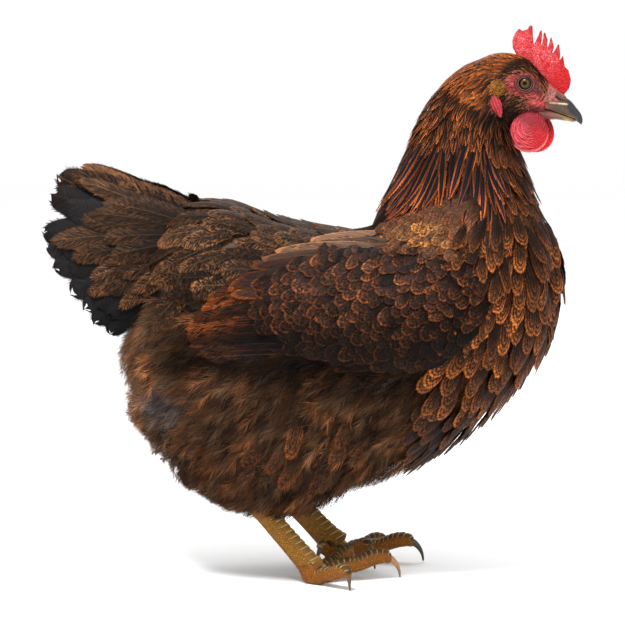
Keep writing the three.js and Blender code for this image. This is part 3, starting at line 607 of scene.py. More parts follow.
def feather_piece(
    name, paint, slot, nodes, lines, width, steps, look, draw, columns, camber, barbs, barb_length, ragged=0,
    pointed=False, roots=None,
):
    """Joins feathers into one piece. A look is their ground, mark and pattern, and how much they vary."""
    line, count, rows = lines[0], len(width), len(steps)
    ground, mark, pattern, vary = look
    fields = {
        "ground": clip(ground * (1 + draw.normal(0, vary, (count, 1))), 0, 1),
        "mark": clip(mark * (1 + draw.normal(0, vary, (count, 1))), 0, 1),
        "pattern": pattern * draw.uniform(0.4, 1.15, (count, 1)),
    }
    grid, uv = vane_grid(*lines, width, steps, pointed, columns, camber)
    if ragged:
        onward = unit(grid[:, -1] - grid[:, -3] + 1e-6)
        notch = draw.uniform(-1, 0.35, (count, columns, 1)) * ragged
        for back in range(1, 5):
            grid[:, -back] += onward * notch * (1 - (back - 1) / 4)
    slivers, sliver_uv = fringe(grid, uv, steps, linspace(0.3, 0.99, barbs), barb_length, draw)
    points = concatenate([grid.reshape(-1, 3), slivers.reshape(-1, 3)])
    vane = concatenate([uv.reshape(-1, 2), sliver_uv.reshape(-1, 2)])
    triangles = arange(count * rows * columns, len(points)).reshape(-1, 3)
    owner = concatenate([np.repeat(arange(count), rows * columns), np.repeat(arange(count), slivers.shape[1])])
    span = norm(np.diff(line, axis=1), axis=2).sum(axis=1)
    fields["quill"] = stacked(draw.uniform(0, 1, count), span / 100, width / 100)
    fields = {key: values[owner] for key, values in fields.items()}
    patches = unwrap(line[:, 0] if roots is None else roots)[owner]
    maps = {"OFBake": patches + BAKE_PATCH * (vane - 0.5), "vane": vane}
    piece = array_piece(name, points, grid_faces(count, rows, columns), triangles, fields, maps)
    finish_piece(piece, paint, slot, *nodes)


def lay_lines(roots, length, steps, lift, draw, loose=5):
    """Walks each feather's middle line over the skin, from its root along the lie."""
    floor = FLOOR["skin"]
    yaw = radians(draw.normal(0, loose, len(roots)))
    here, ways = floor.nearest(roots)
    line, across, up = [], [], []
    raised = lift[0] + (lift[1] - lift[0]) * draw.uniform(0.75, 1.15, len(roots))
    for k, t in enumerate(steps):
        if k:
            here, ways = floor.nearest(here + forward * (length * (t - steps[k - 1]))[:, None])
        forward = lie_at(here)
        forward = unit(forward - np.sum(forward * ways, axis=1, keepdims=True) * ways)
        forward = turned(forward, ways, yaw)
        height = mix(lift[0], raised, t**0.8)
        line.append(here + ways * height[:, None])
        across.append(cross(ways, forward))
        up.append(ways)
    return np.stack(line, 1), np.stack(across, 1), np.stack(up, 1)


# ---------- helpers for materials ----------
class Paint:
    """A material built from nodes."""

    def __init__(self, name, roughness, specular=0.4):
        self.material = bpy.data.materials.new(name)
        self.material.use_nodes = True
        self.tree = self.material.node_tree
        self.shader = self.tree.nodes["Principled BSDF"]
        self.set("Roughness", roughness)
        self.set("Specular IOR Level", specular)

    def set(self, socket, value):
        self.put(self.shader.inputs[socket], value)

    def node(self, kind, **settings):
        node = self.tree.nodes.new("ShaderNode" + kind)
        for key, value in settings.items():
            setattr(node, key, value)
        return node

    def put(self, socket, value):
        if isinstance(value, bpy.types.NodeSocket):
            self.tree.links.new(value, socket)
        else:
            socket.default_value = (*value, 1) if socket.type == "RGBA" and len(value) == 3 else value

    def made(self, kind, output, inputs, **settings):
        """An output of a new node with these inputs, or all its outputs."""
        node = self.node(kind, **settings)
        for key, value in inputs.items():
            self.put(node.inputs[key], value)
        return node.outputs if output is None else node.outputs[output]

    def math(self, operation, *values):
        return self.made("Math", 0, dict(enumerate(values)), operation=operation)

    def times(self, *values):
        return self.math("MULTIPLY", *values)

    def scaled(self, value, by, plus):
        return self.math("MULTIPLY_ADD", value, by, plus)

    def band(self, low, high, value):
        inputs = {"Value": value, "From Min": low, "From Max": high}
        return self.made("MapRange", "Result", inputs, interpolation_type="SMOOTHSTEP")

    def mix(self, factor, a, b, kind="MIX"):
        return self.made("Mix", 2, {0: factor, 6: a, 7: b}, data_type="RGBA", blend_type=kind)

    def tint(self, colour, shade):
        """A colour made lighter or darker by a number round 1."""
        return self.mix(1, colour, self.made("CombineColor", 0, {0: shade, 1: shade, 2: shade}), "MULTIPLY")

    def field(self, name, output="Color"):
        return self.node("Attribute", attribute_name=name).outputs[output]

    def vane(self):
        """The places across and along a feather."""
        return self.parts(self.node("UVMap", uv_map="vane").outputs[0])

    def parts(self, vector):
        return self.made("SeparateXYZ", None, {0: vector})

    def vector(self, *values):
        return self.made("CombineXYZ", 0, dict(enumerate(values)))

    def object_place(self):
        return self.node("TexCoord").outputs["Object"]

    def noise(self, vector, scale, detail=2, rough=0.5):
        inputs = {"Vector": vector, "Scale": scale, "Detail": detail, "Roughness": rough}
        return self.made("TexNoise", "Fac", inputs)

    def cells(self, vector, scale):
        return self.made("TexVoronoi", "Distance", {"Vector": vector, "Scale": scale})

    def bump(self, height, strength, distance):
        inputs = {"Height": height, "Strength": strength, "Distance": distance}
        self.set("Normal", self.made("Bump", "Normal", inputs))


def feather_paint(name, roughness, specular, root_shade=(0.45, 0.88), lace=(0.78, 0.9), fine=1):
    """Vane colours from each feather's own map: lacing along its rim, inner rings, pepper, barbs and shaft, with
    painted shade towards the root.
    """
    p = Paint(name, roughness, specular)
    place = p.vane()
    luck, reach, width = p.parts(p.field("quill", "Vector"))
    rim, rings, pepper = p.parts(p.field("pattern", "Vector"))
    x = p.scaled(place[0], 2, -1)
    aside = p.math("ABSOLUTE", x)
    along = p.times(p.math("SUBTRACT", place[1], p.times(aside, 0.2)), reach)
    along = p.times(along, 100)
    barb = p.noise(p.vector(along, p.times(x, 1.1), p.times(luck, 57)), 1.1 * fine, 3, 0.7)
    across = p.times(p.times(x, width), 22)
    speck = p.noise(p.vector(along, across, p.times(luck, 31)), 1 * fine, 2, 0.7)
    past = p.math("MAXIMUM", p.scaled(place[1], 1 / (1 - TIP_START), -TIP_START / (1 - TIP_START)), 0)
    outward = p.math("SQRT", p.math("ADD", p.times(x, x), p.times(past, past)))
    wavy = p.scaled(barb, 0.4, p.math("SUBTRACT", outward, 0.2))
    broken = p.scaled(p.band(0.38, 0.54, speck), 0.65, 0.35)
    edge = p.times(p.band(*lace, wavy), rim)
    wave = p.math("COSINE", p.times(p.math("SUBTRACT", 0.97, wavy), 2 * pi / 0.36))
    ring = p.times(p.band(-0.3, 0.9, wave), rings)
    marked = p.times(p.math("MAXIMUM", edge, ring), broken)
    pepper = p.times(pepper, p.scaled(p.band(0.2, 0.8, wavy), 0.75, 0.25))
    marked = p.math("MAXIMUM", marked, p.times(p.band(0.5, 0.57, speck), pepper))
    colour = p.mix(marked, p.field("ground"), p.field("mark"))
    shaft = p.times(p.math("SUBTRACT", 1, p.band(0.01, 0.045, aside)), 0.25)
    colour = p.mix(shaft, colour, p.tint(p.field("mark"), 1.3))
    shade = p.scaled(p.band(0.3, 0.7, barb), 1.3, 0.35)
    shade = p.times(shade, p.scaled(luck, 0.8, 0.55))
    # Painted shade: each vane darkens towards its root, where the feathers lying over it would shade it.
    shade = p.times(shade, p.scaled(p.band(*root_shade, place[1]), 0.75, 0.25))
    p.set("Base Color", p.tint(colour, shade))
    p.bump(barb, 0.7, 0.0005)
    return p.material


def down_paint():
    """Soft down: grey at the root, paler and browner at the tips."""
    p = Paint("down", 0.85, 0.05)
    place = p.vane()
    luck, _, _ = p.parts(p.field("quill", "Vector"))
    colour = p.mix(p.band(0.1, 0.95, place[1]), p.field("ground"), p.field("mark"))
    p.set("Base Color", p.tint(colour, p.scaled(luck, 0.9, 0.45)))
    return p.material


def flesh_paint(name, roughness, pebble_size, bump, painted_glint=0):
    """Living skin: the colour of each point, mottled, with fine pebbles, some of them with pale painted highlights."""
    p = Paint(name, roughness, 0.22)
    place = p.object_place()
    mottle = p.noise(place, 420, 4, 0.65)
    pebbles = p.cells(place, 1 / (pebble_size * MM))
    shade = p.scaled(mottle, 0.9, 0.55)
    shade = p.times(shade, p.scaled(pebbles, -0.5, 1.2))
    tone = p.field("tone")
    colour = p.tint(tone, shade)
    # Painted highlights: pale dots on the middles of some pebbles, in patches, where the skin's shine would catch the
    # light.
    if painted_glint:
        green = p.parts(tone)[1]
        patchy = p.times(p.band(0.4, 0.6, p.noise(place, 170, 2)), p.band(0.003, 0.03, green))
        dot = p.math("SUBTRACT", 1, p.band(0.12, 0.34, pebbles))
        colour = p.mix(p.times(p.times(dot, patchy), painted_glint), colour, srgb(246, 196, 190))
    p.set("Base Color", colour)
    p.set("Subsurface Weight", 0.06)
    p.set("Subsurface Radius", (0.003, 0.0008, 0.0005))
    p.set("Subsurface Scale", 1)
    p.bump(p.math("SUBTRACT", 1, pebbles), bump, 0.0004)
    return p.material


def horn_paint():
    p = Paint("horn", 0.32, 0.35)
    place = p.made("Mapping", 0, {"Vector": p.object_place(), "Scale": (1, 3, 1.6)})
    grain = p.noise(place, 260, 4, 0.6)
    p.set("Base Color", p.tint(p.field("tone"), p.scaled(grain, 0.8, 0.6)))
    p.bump(grain, 0.25, 0.0003)
    return p.material


def scale_paint():
    p = Paint("leg_scales", 0.5, 0.12)
    grain = p.noise(p.object_place(), 900, 3, 0.6)
    p.set("Base Color", p.tint(p.field("tone"), p.scaled(grain, 0.7, 0.65)))
    p.bump(grain, 0.3, 0.0003)
    return p.material


def eye_paint(side, colours):
    """A wet eye: black pupil, streaked iris and a dark rim."""
    p = Paint(f"eye_{side}", 0.14, 0.12)
    centre = (EYE.x + SHIFT[0]) * MM, (EYE.z + SHIFT[2]) * MM
    x, _, z = p.parts(p.object_place())
    x, z = p.math("SUBTRACT", x, centre[0]), p.math("SUBTRACT", z, centre[1])
    radius = p.math("SQRT", p.math("ADD", p.times(x, x), p.times(z, z)))
    angle = p.math("ARCTAN2", z, x)
    streaks = p.noise(p.vector(p.times(angle, 3), p.times(radius, 300), 0), 2, 3)
    iris = p.mix(p.band(0.0012, 0.0036, radius), tuple(colours.iris_inner), tuple(colours.iris_outer))
    iris = p.tint(iris, p.scaled(streaks, 1, 0.5))
    colour = p.mix(p.band(0.0015, 0.0018, radius), srgb(4, 3, 3), iris)
    colour = p.mix(p.band(0.0033, 0.0038, radius), colour, srgb(22, 14, 11))
    p.set("Base Color", colour)
    p.set("Coat Weight", 0.05)
    p.set("Coat Roughness", 0.03)
    return p.material


# ---------- settings ----------
def length_setting(name, description, default):
    return bpy.props.FloatProperty(name=name, description=description, default=default * MM, unit="LENGTH", precision=4)


def angle_setting(name, description, degrees):
    return bpy.props.FloatProperty(name=name, description=description, default=radians(degrees), subtype="ANGLE")


def colour_setting(name, description, *channels):
    return bpy.props.FloatVectorProperty(name=name, description=description, default=srgb(*channels), subtype="COLOR")


# Every colour: what it paints, and its red, green and blue from 0 to 255.
COLOURS = {
    "dark": ("Ground of the body feathers", 26, 15, 9),
    "blue_black": ("Ground of the hackle feathers", 13, 17, 28),
    "orange": ("Lacing of the hackle", 166, 82, 30),
    "chestnut": ("Scallops of the breast", 156, 86, 36),
    "crown": ("Streaks of the crown and upper neck", 164, 87, 38),
    "saddle": ("Ground of the back and saddle", 24, 17, 12),
    "pepper": ("Fine specks of the back and saddle", 120, 79, 48),
    "bow": ("Ground of the wing's shoulder", 58, 42, 34),
    "bow_gold": ("Stipple of the wing's shoulder", 180, 114, 50),
    "covert": ("Ground of the wing coverts", 10, 7, 5),
    "covert_top": ("Ground of the upper coverts", 28, 19, 16),
    "covert_edge": ("Thin lacing of the coverts", 112, 60, 28),
    "tertial_edge": ("Thin lacing of the tertials", 160, 108, 68),
    "flight_orange": ("Specks on the secondaries", 142, 70, 24),
    "tail_black": ("Ground of the tail feathers", 24, 22, 23),
    # The skin under the coat is dark as painted shade, for where it shows through the coat's gaps.
    "down_root": ("Down near the skin", 24, 16, 12),
    "down_tip": ("Tips of the down", 72, 51, 35),
    "gold": ("Ear tuft", 176, 112, 46),
    "skin": ("Skin under the coat", 22, 15, 12),
    "face": ("Bare skin of the face", 136, 30, 28),
    "lid": ("Rims of the lids", 104, 66, 60),
    "cere": ("Soft skin above the beak", 148, 88, 80),
    "comb": ("Comb", 172, 5, 12),
    "comb_pale": ("Rear and middle of the comb", 190, 62, 66),
    "wattle": ("Wattles", 180, 30, 44),
    "lobe": ("Earlobes", 168, 46, 56),
    "beak": ("Brown horn of the beak's base", 72, 52, 39),
    "beak_dark": ("Slate horn of the beak's ridge and tip", 36, 35, 39),
    "beak_pale": ("Pale cutting edges of the beak", 214, 184, 150),
    "leg": ("Fine scales of the legs", 140, 100, 36),
    "leg_warm": ("Sides of the toes", 134, 76, 16),
    "plate": ("Plates on top of the toes", 60, 44, 24),
    "seam": ("Pale seams between the plates", 176, 146, 108),
    "claw": ("Claws", 56, 46, 40),
    "iris_inner": ("Iris near the pupil", 96, 68, 22),
    "iris_outer": ("Iris near its rim", 50, 34, 15),
}


# The lengths of the feathers, in millimetres.
LENGTHS = {
    "crown_length": ("Length of a feather on the crown", 8.5),
    "neck_length": ("Length of a feather on the upper neck", 20),
    "hackle_length": ("Length of a hackle feather", 52),
    "breast_length": ("Length of a breast feather", 27),
    "back_length": ("Length of a back feather", 36),
    "down_length": ("Length of a belly or thigh feather", 24),
}


def titled(setting, table):
    """Settings made from a table, with their names taken from its keys."""
    return {key: setting(key.replace("_", " ").title(), *row) for key, row in table.items()}


class HenColours(bpy.types.PropertyGroup):
    """The colours of the coat, the skin and the horn"""

    __annotations__ = titled(colour_setting, COLOURS)


class HenCoatSettings(bpy.types.PropertyGroup):
    """The sizes of the coat"""

    __annotations__ = titled(length_setting, LENGTHS)


class HenStageSettings(bpy.types.PropertyGroup):
    """The camera's place and the floor's colour"""

    azimuth: angle_setting("Azimuth", "Turn of the camera round the hen", 10)
    elevation: angle_setting("Elevation", "Height angle of the camera", 4)
    distance: length_setting("Distance", "From the camera to the hen's middle plane", 1800)
    view_width: length_setting("View Width", "Width that the camera sees at the hen", 456)
    aim_height: length_setting("Aim Height", "Height of the point that the camera looks at", 189.5)
    floor_colour: colour_setting("Floor Colour", "Colour of the studio floor", 254, 254, 254)


def colours():
    """Every colour setting as an array, by its name."""
    settings = bpy.context.scene.hen_colours
    return SimpleNamespace(**{key: array(getattr(settings, key)) for key in HenColours.__annotations__})


def coat_sizes():
    return bpy.context.scene.hen_coat


# ---------- the skin ----------
def ridge(distance, at, width, height):
    """A rounded ridge where a distance comes to a value."""
    return height * exp(-(((distance - at) / width) ** 2))


LID_TILT = radians(8)
LIDS = (4.75, 6.15, 7.5)  # distances of the rims of the lids from the eye's middle
# A fold at the gape: its two ends, its width and its height.
GAPE_FOLDS = (((158, 341.2), (167.5, 337.6), 1.7, 1.3), ((160.5, 337.4), (168.6, 334.6), 1.2, 0.9))
EAR_TUFT = (137.2, 352.2, 5.4)  # its middle (x, z) and its radius
NOSTRIL = ((177, 345.6), (182.6, 341.4))
FLAP = ((178.2, 346.6), (184.4, 342.8))  # the soft flap over the nostril


def tuft_distance(x, z):
    return hypot(x - EAR_TUFT[0], z - EAR_TUFT[1])


def eye_distance(x, z):
    """The distance from the eye's middle, measured so that the lids' ovals are circles."""
    dx, dz = x - EYE.x, z - EYE.z
    c, s = cos(LID_TILT), sin(LID_TILT)
    across, up = dx * c - dz * s, dx * s + dz * c
    out = ease(3.5, 7.5, hypot(across, up))
    return hypot(across / mix(1, 1.06, out), up / np.where(up > 0, mix(0.95, 0.76, out), mix(0.97, 1, out)))


def wrinkles(r, angle):
    """Fine folds of the bare skin: outwards from the eye behind it, and in rings below and before it."""
    rear = ease(0.1, 0.7, -cos(angle + 0.2))
    c, s = cos(angle), sin(angle)
    rings = rough_noise(stacked(c * 3, s * 3, r * 1.1), 1)
    rays = rough_noise(stacked(c * 9, s * 9, r * 0.3), 1)
    return 2 * mix(rings, rays, rear)


def face_relief(x, z, bare, points):
    """How far the skin of the face stands out, in millimetres."""
    r = eye_distance(x, z)
    angle = arctan2(z - EYE.z, x - EYE.x)
    relief = -3.4 * (1 - ease(3.8, 4.5, r))
    relief += ridge(r, LIDS[0], 0.5, 1.15) + ridge(r, LIDS[1], 0.45, 0.8) + ridge(r, LIDS[2], 0.4, 0.45)
    around = ease(7.6, 9, r) * (1 - ease(17, 19, r)) * bare
    relief += 0.4 * around * wrinkles(r, angle)
    relief += 1.9 * sqrt(maximum(0, 1 - (tuft_distance(x, z) / EAR_TUFT[2]) ** 2))
    for start, end, width, height in GAPE_FOLDS:
        relief += ridge(segment_distance(x, z, start, end), 0, width, height)
    relief += 1.4 * exp(-((hypot(x - 177, z - 352) / 5) ** 2))
    slit = segment_distance(x, z, *NOSTRIL)
    flap = segment_distance(x, z, *FLAP)
    relief += ridge(flap, 0, 1.5, 0.9) - ridge(slit, 0, 0.7, 2)
    relief += mix(0.2, 0.45, ease(169, 173, x)) * bare * rough_noise(points, 0.9)
    return relief


def under_coat(points):
    """The skin's colours under the feathers: the coat's markings, darkened towards the dark skin colour as painted
    shade under the feathers.
    """
    x, _, z = points.T
    c = colours()
    tone = layered(
        mix(c.down_root, c.down_tip, 0.5) * ones((len(points), 1)),
        (mix(c.dark, c.chestnut, 0.4), ease(-4, 4, x - interp(z, *BREAST_EDGE))),
        (mix(c.saddle, c.pepper, 0.5), ease(206, 226, z) * ease(80, 60, x)),
        (c.covert_top, ease(4, -4, outline_distance(WING_OUTLINE, x, z))),
        (mix(c.blue_black, c.orange, 0.3), ease(250, 266, z) * ease(20, 44, x)),
        (c.crown * 0.6, ease(322, 344, z)),
    )
    return mix(c.skin, tone, 0.6)


def skin_tone(points, bare):
    """The skin's colours: dark with painted shade under the coat, red round the eye, pink on the cere."""
    x, _, z = points.T
    c = colours()
    r = eye_distance(x, z)
    cloud, fine = rough_noise(points, 3), rough_noise(points, 0.8)
    fold = wrinkles(r, arctan2(z - EYE.z, x - EYE.x))
    gape = segment_distance(x, z, (157, 342.6), (168.5, 341)) + 1.2 * fine
    face = layered(
        c.face * (1 + 0.3 * cloud + 0.3 * fine)[:, None],
        # Along the fine folds: paler on the crests and darker in the hollows, painted light and shade over the folds'
        # relief.
        (c.cere * 1.1, 0.55 * ease(0.1, 0.7, fold)),
        (rgb(58, 18, 20), 0.7 * ease(-0.1, -0.7, fold)),
        (rgb(62, 26, 26), 0.85 * ease(1, 0.3, hypot((x - 165) / 4.5, (z - 353) / 9))),
        (rgb(186, 66, 66) * (1 + 0.9 * fine)[:, None], 0.9 * ease(2.6, 0.4, gape)),
        (rgb(76, 20, 22), 0.85 * ease(339.2, 337.4, z)),
    )
    cere = blend(c.cere, rgb(206, 60, 62), 0.6 * ease(350, 356, z)) * (0.9 + 0.4 * cloud + 0.9 * fine)[:, None]
    # Painted shade: dark grooves between the ridges of the lids.
    grooves = maximum(ridge(r, 5.45, 0.32, 1), ridge(r, 6.85, 0.3, 0.9))
    rims = maximum(ridge(r, LIDS[0], 0.45, 1), 0.75 * ridge(r, LIDS[1], 0.4, 1))
    lids = blend(c.face * 0.5, c.lid, rims) * (1 + 0.35 * fine + 0.2 * cloud)[:, None]
    return layered(
        under_coat(points),
        (face, bare),
        (cere, ease(1.2, -0.8, outline_distance(BARE_CERE, x, z) + 0.8 * cloud)),
        (blend(lids, rgb(36, 16, 16), 0.9 * grooves), 1 - ease(7.2, 8, r)),
        (rgb(14, 9, 8), 1 - ease(4, 4.5, r)),
        # Under the ear tuft the skin takes the tuft's gold, darkened as painted shade.
        (c.gold * 0.4, ease(EAR_TUFT[2], EAR_TUFT[2] - 1, tuft_distance(x, z))),
        (rgb(92, 62, 50) * (1 + 0.3 * fine)[:, None], ease(2.2, 1.1, segment_distance(x, z, *FLAP))),
        # Painted shade: dark in the nostril's slit.
        (rgb(24, 14, 13), ridge(segment_distance(x, z, *NOSTRIL), 0, 0.8, 1)),
    )


class HEN_OT_skin(bpy.types.Operator):
    """Model the one skin of body, neck and head that the coat lies on"""

    bl_idname = "hen.skin"
    bl_label = "Skin"

    def execute(self, context):
        bodies = [
            add_sphere("torso_form", lambda u: torso_loft.point(u, -COAT.torso)),
            add_sphere("neck_form", lambda u: neck_loft.point(u, -COAT.neck)),
            add_sphere("head_form", lambda u: head_loft.point(u, -COAT.head)),
            add_sphere("tail_form", lambda u: tail_core_point(u, -COAT.tail)),
        ]
        for mirror in SIDES.values():
            bodies.append(add_sphere("thigh_form", lambda u: thigh_loft.point(u, -COAT.thigh, mirror)))
            bodies.append(add_sphere("wing_form", lambda u: wing_core_point(u, mirror, -COAT.wing)))
        skin = fused(bodies, "body_skin", VOXEL, 6)
        refine(skin, lambda x, y, z: (beyond(HEAD_LINE, x, z) > -6) & (x > 104), 2)
        refine(skin, lambda x, y, z: (beyond(HEAD_LINE, x, z) > 0) & (x > 122), 2)
        refine(skin, lambda x, y, z: (bare_distance(x, z) < 3) & (x > 130), 1)
        points, normals = plan_points(skin), normals_of(skin)
        x, y, z = points.T
        head = (beyond(HEAD_LINE, x, z) > -4) & (x > 118)
        bare = zeros(len(points))
        bare[head] = ease(1, -1, bare_distance(x[head], z[head]))
        bare *= ease(3, 6, np.abs(y))
        moved = points.copy()
        sideways = ease(0.25, 0.7, np.abs(normals[head, 1]))
        relief = face_relief(x[head], z[head], bare[head], points[head])
        moved[head] += normals[head] * (relief * sideways)[:, None]
        # Where the horn lies bare the skin draws in behind it.
        tuck = ease(168, 170.5, x) * ease(342.6, 341.2, z)
        moved[:, 1] *= 1 - 0.6 * tuck
        moved[:, 2] += 3 * tuck * ease(336, 333, z)
        place_points(skin, moved)
        FLOOR["skin"] = Floor(skin)
        finish_toned(
            skin, skin_tone(moved, bare), flesh_paint("face_skin", 0.5, 0.9, 0.6, 0.4), "face_skin",
            "torso", "neck", "head", "thigh_right", "thigh_left",
        )
        return {"FINISHED"}


# ---------- the head's other pieces ----------
class HEN_OT_eyes(bpy.types.Operator):
    """Model the eyeballs"""

    bl_idname = "hen.eyes"
    bl_label = "Eyes"

    def execute(self, context):
        for side, mirror in SIDES.items():
            centre = array([EYE.x, mirror * EYE.out, EYE.z])
            eye = add_sphere(f"eyeball_{side}", lambda u: centre + u[:, [0, 2, 1]] * EYE.radius * 0.995, 64, 48)
            pick(eye)
            bpy.ops.object.shade_smooth()
            finish_piece(eye, eye_paint(side, colours()), "eye", f"eye_{side}")
        return {"FINISHED"}


UPPER_BEAK = (
    (160.5, 342, 0, 0), (162.4, 342.2, 8.5, 6.5), (170.1, 341.8, 7.9, 6.7), (176.8, 340.6, 6.8, 6.8),
    (182.6, 338.3, 5.5, 6.2), (187.2, 334.9, 4.3, 4.9), (191.1, 332, 3, 3.5), (193.5, 328.7, 1.6, 2),
    (194.5, 325.8, 0, 0),
)
LOWER_BEAK = (
    (160.5, 335.2, 0, 0), (162.4, 334.6, 7.6, 4.4), (170.1, 333.5, 6.8, 3.9), (176.9, 332.5, 5.7, 3),
    (183.6, 330.7, 4.1, 2.2), (188.6, 329.2, 2.2, 1.4), (190.9, 328.5, 0, 0),
)
MOUTH_LINE = (146.9, 344.8, -19)
HOOK_X = 189.4  # the upper beak's hook hangs below the mouth line from here


def swept(rings, power=2, turn=0, origin=(0, 0), floor=-np.inf):
    """A way to place a sphere's points on a tube through rings of (x, z, half width, half depth)."""
    table = array(rings, float)
    keys = arange(len(table))
    last = len(table) - 1

    def place(units):
        k = np.arccos(clip(-units[:, 2], -1, 1)) / pi * last
        x, z, wide, deep = (through(keys, column, k) for column in table.T)
        ahead, behind = minimum(k + 0.05, last), maximum(k - 0.05, 0)
        way = stacked(*(through(keys, column, ahead) - through(keys, column, behind) for column in table.T[:2]))
        dx, dz = unit(way).T
        angle = arctan2(units[:, 1], units[:, 0])
        side = signed_power(cos(angle), 2 / power) * wide
        up = signed_power(sin(angle), 2 / power) * deep
        ahead, c, s = x - dz * up, cos(radians(turn)), sin(radians(turn))
        return stacked(origin[0] + ahead * c - side * s, origin[1] + ahead * s + side * c, maximum(floor, z + dx * up))

    return place


SLATE = ((184.5, 344), (184.8, 336.6), (190, 331), (192.6, 327.4), (194, 323), (200, 328), (197, 340), (188, 346))


def beak_tone(points, upper):
    x, y, z = points.T
    c = colours()
    above = beyond(MOUTH_LINE, x, z)
    cloud = rough_noise(points, 2)
    if upper:
        slate = ease(0.9, -0.9, outline_distance(SLATE, x, z) + 0.5 * cloud)
        rim = segment_distance(x, z, (172.5, 341.6), (184.6, 340.4))
        pale = ease(0.8, 0.2, rim + 0.25 * cloud) * ease(1.6, 3.2, np.abs(y))
        tone = layered(
            ones((len(points), 3)) * c.beak,
            (rgb(100, 58, 48), ease(177, 171, x + 2 * cloud)),
            (rgb(176, 66, 64), ease(172.5, 168, x + cloud) * ease(3.2, 1.5, above)),
            (rgb(150, 122, 84), 0.75 * ease(1.5, 0.3, above) * ease(172, 178, x)),
            (c.beak_dark, slate),
            (c.beak_pale, 0.9 * pale * (1 - 0.7 * slate)),
        )
    else:
        low = ease(-1.2, -2.4, above + 0.12 * (x - 184))
        tone = blend(rgb(110, 66, 56), rgb(102, 88, 64), ease(174, 182, x))
        tone = blend(tone, rgb(196, 146, 62), ease(180, 186, x) * low)
    # Painted shade: a dark line along the mouth, where the bills meet.
    tone = blend(tone, rgb(34, 20, 16), ease(0.55, 0.2, np.abs(above)) * ease(192, 190, x))
    return tone * (1 + 0.14 * cloud)[:, None]


class HEN_OT_beak(bpy.types.Operator):
    """Model the upper and lower beak"""

    bl_idname = "hen.beak"
    bl_label = "Beak"

    def execute(self, context):
        turn = radians(MOUTH_LINE[2])
        for half, rings, power in (("upper", UPPER_BEAK, 2.2), ("lower", LOWER_BEAK, 2)):
            upper = half == "upper"
            bill = add_sphere(f"bill_{half}", swept(rings, power), 72, 96)
            points = plan_points(bill)
            x, _, z = points.T
            away = beyond(MOUTH_LINE, x, z)
            shift = maximum(0, 0.02 - away) * ease(HOOK_X + 1.6, HOOK_X, x) if upper else minimum(0, -0.02 - away)
            x -= shift * sin(turn)
            z += shift * cos(turn)
            place_points(bill, points)
            finish_toned(bill, beak_tone(points, upper), horn_paint(), "horn", f"beak_{half}")
            bill.data.set_sharp_from_angle(angle=radians(50))
        return {"FINISHED"}


COMB_OUTLINE = (
    (148.9, 374.2), (145.4, 381), (145.2, 386.4), (146.7, 390.4), (148.4, 392.6), (149.6, 394.2),
    (151.9, 392.5), (155.9, 393.8), (157.1, 396.2), (158.9, 396.4), (159.2, 389.7), (159.8, 382.5),
    (161.2, 384.2), (165.4, 393.7), (165.9, 388.7), (164.8, 381.5),
    (166.3, 383.2), (167.7, 392.2), (169.8, 386.1), (169.2, 380.2),
    (171, 381.8), (172.5, 388.1), (174.4, 381.3), (172.7, 375.6),
    (174.7, 377.2), (178, 383.5), (178.9, 375.4), (178.1, 371.3),
    (179.4, 372), (181, 374.8), (182, 367.2),
    (184.7, 364.7), (186.6, 357.7), (185.4, 351.7), (181.6, 347.3),
    (173.9, 344.9), (167.1, 352.2), (161.3, 359.5), (156, 365.4), (150.7, 369.3),
)
COMB = SimpleNamespace(thick=6.4, foot=(156.5, 358.5), solid=10, slim=0.016)
WATTLE = SimpleNamespace(x=157.9, z=321.3, reach=14.8, drop=15.1, thick=2.6, side=8.2, splay=0.16)
WATTLE_AHEAD = {"right": 0, "left": 2.6}
EARLOBE = SimpleNamespace(x=135.4, z=339.2, reach=4.9, rise=8.2, thick=2.2)


def comb_tone(points):
    x, _, z = points.T
    c = colours()
    foot = ease(24, 8, hypot(x - 163, z - 372))
    pale = maximum(ease(166, 150, x), 0.8 * foot) * (0.7 + 0.9 * rough_noise(points, 4))
    tip_height = interp(x, [145, 158, 165, 168, 172, 178, 181, 187], [390, 394, 390, 389, 384.5, 380, 372.5, 370])
    tips = 0.55 * ease(-1.5, 2.5, z - tip_height)
    tone = layered(c.comb, (c.comb_pale, clip(pale, 0, 1)), (rgb(128, 34, 38), tips))
    return tone * (1 + 0.4 * rough_noise(points, 1.6))[:, None]


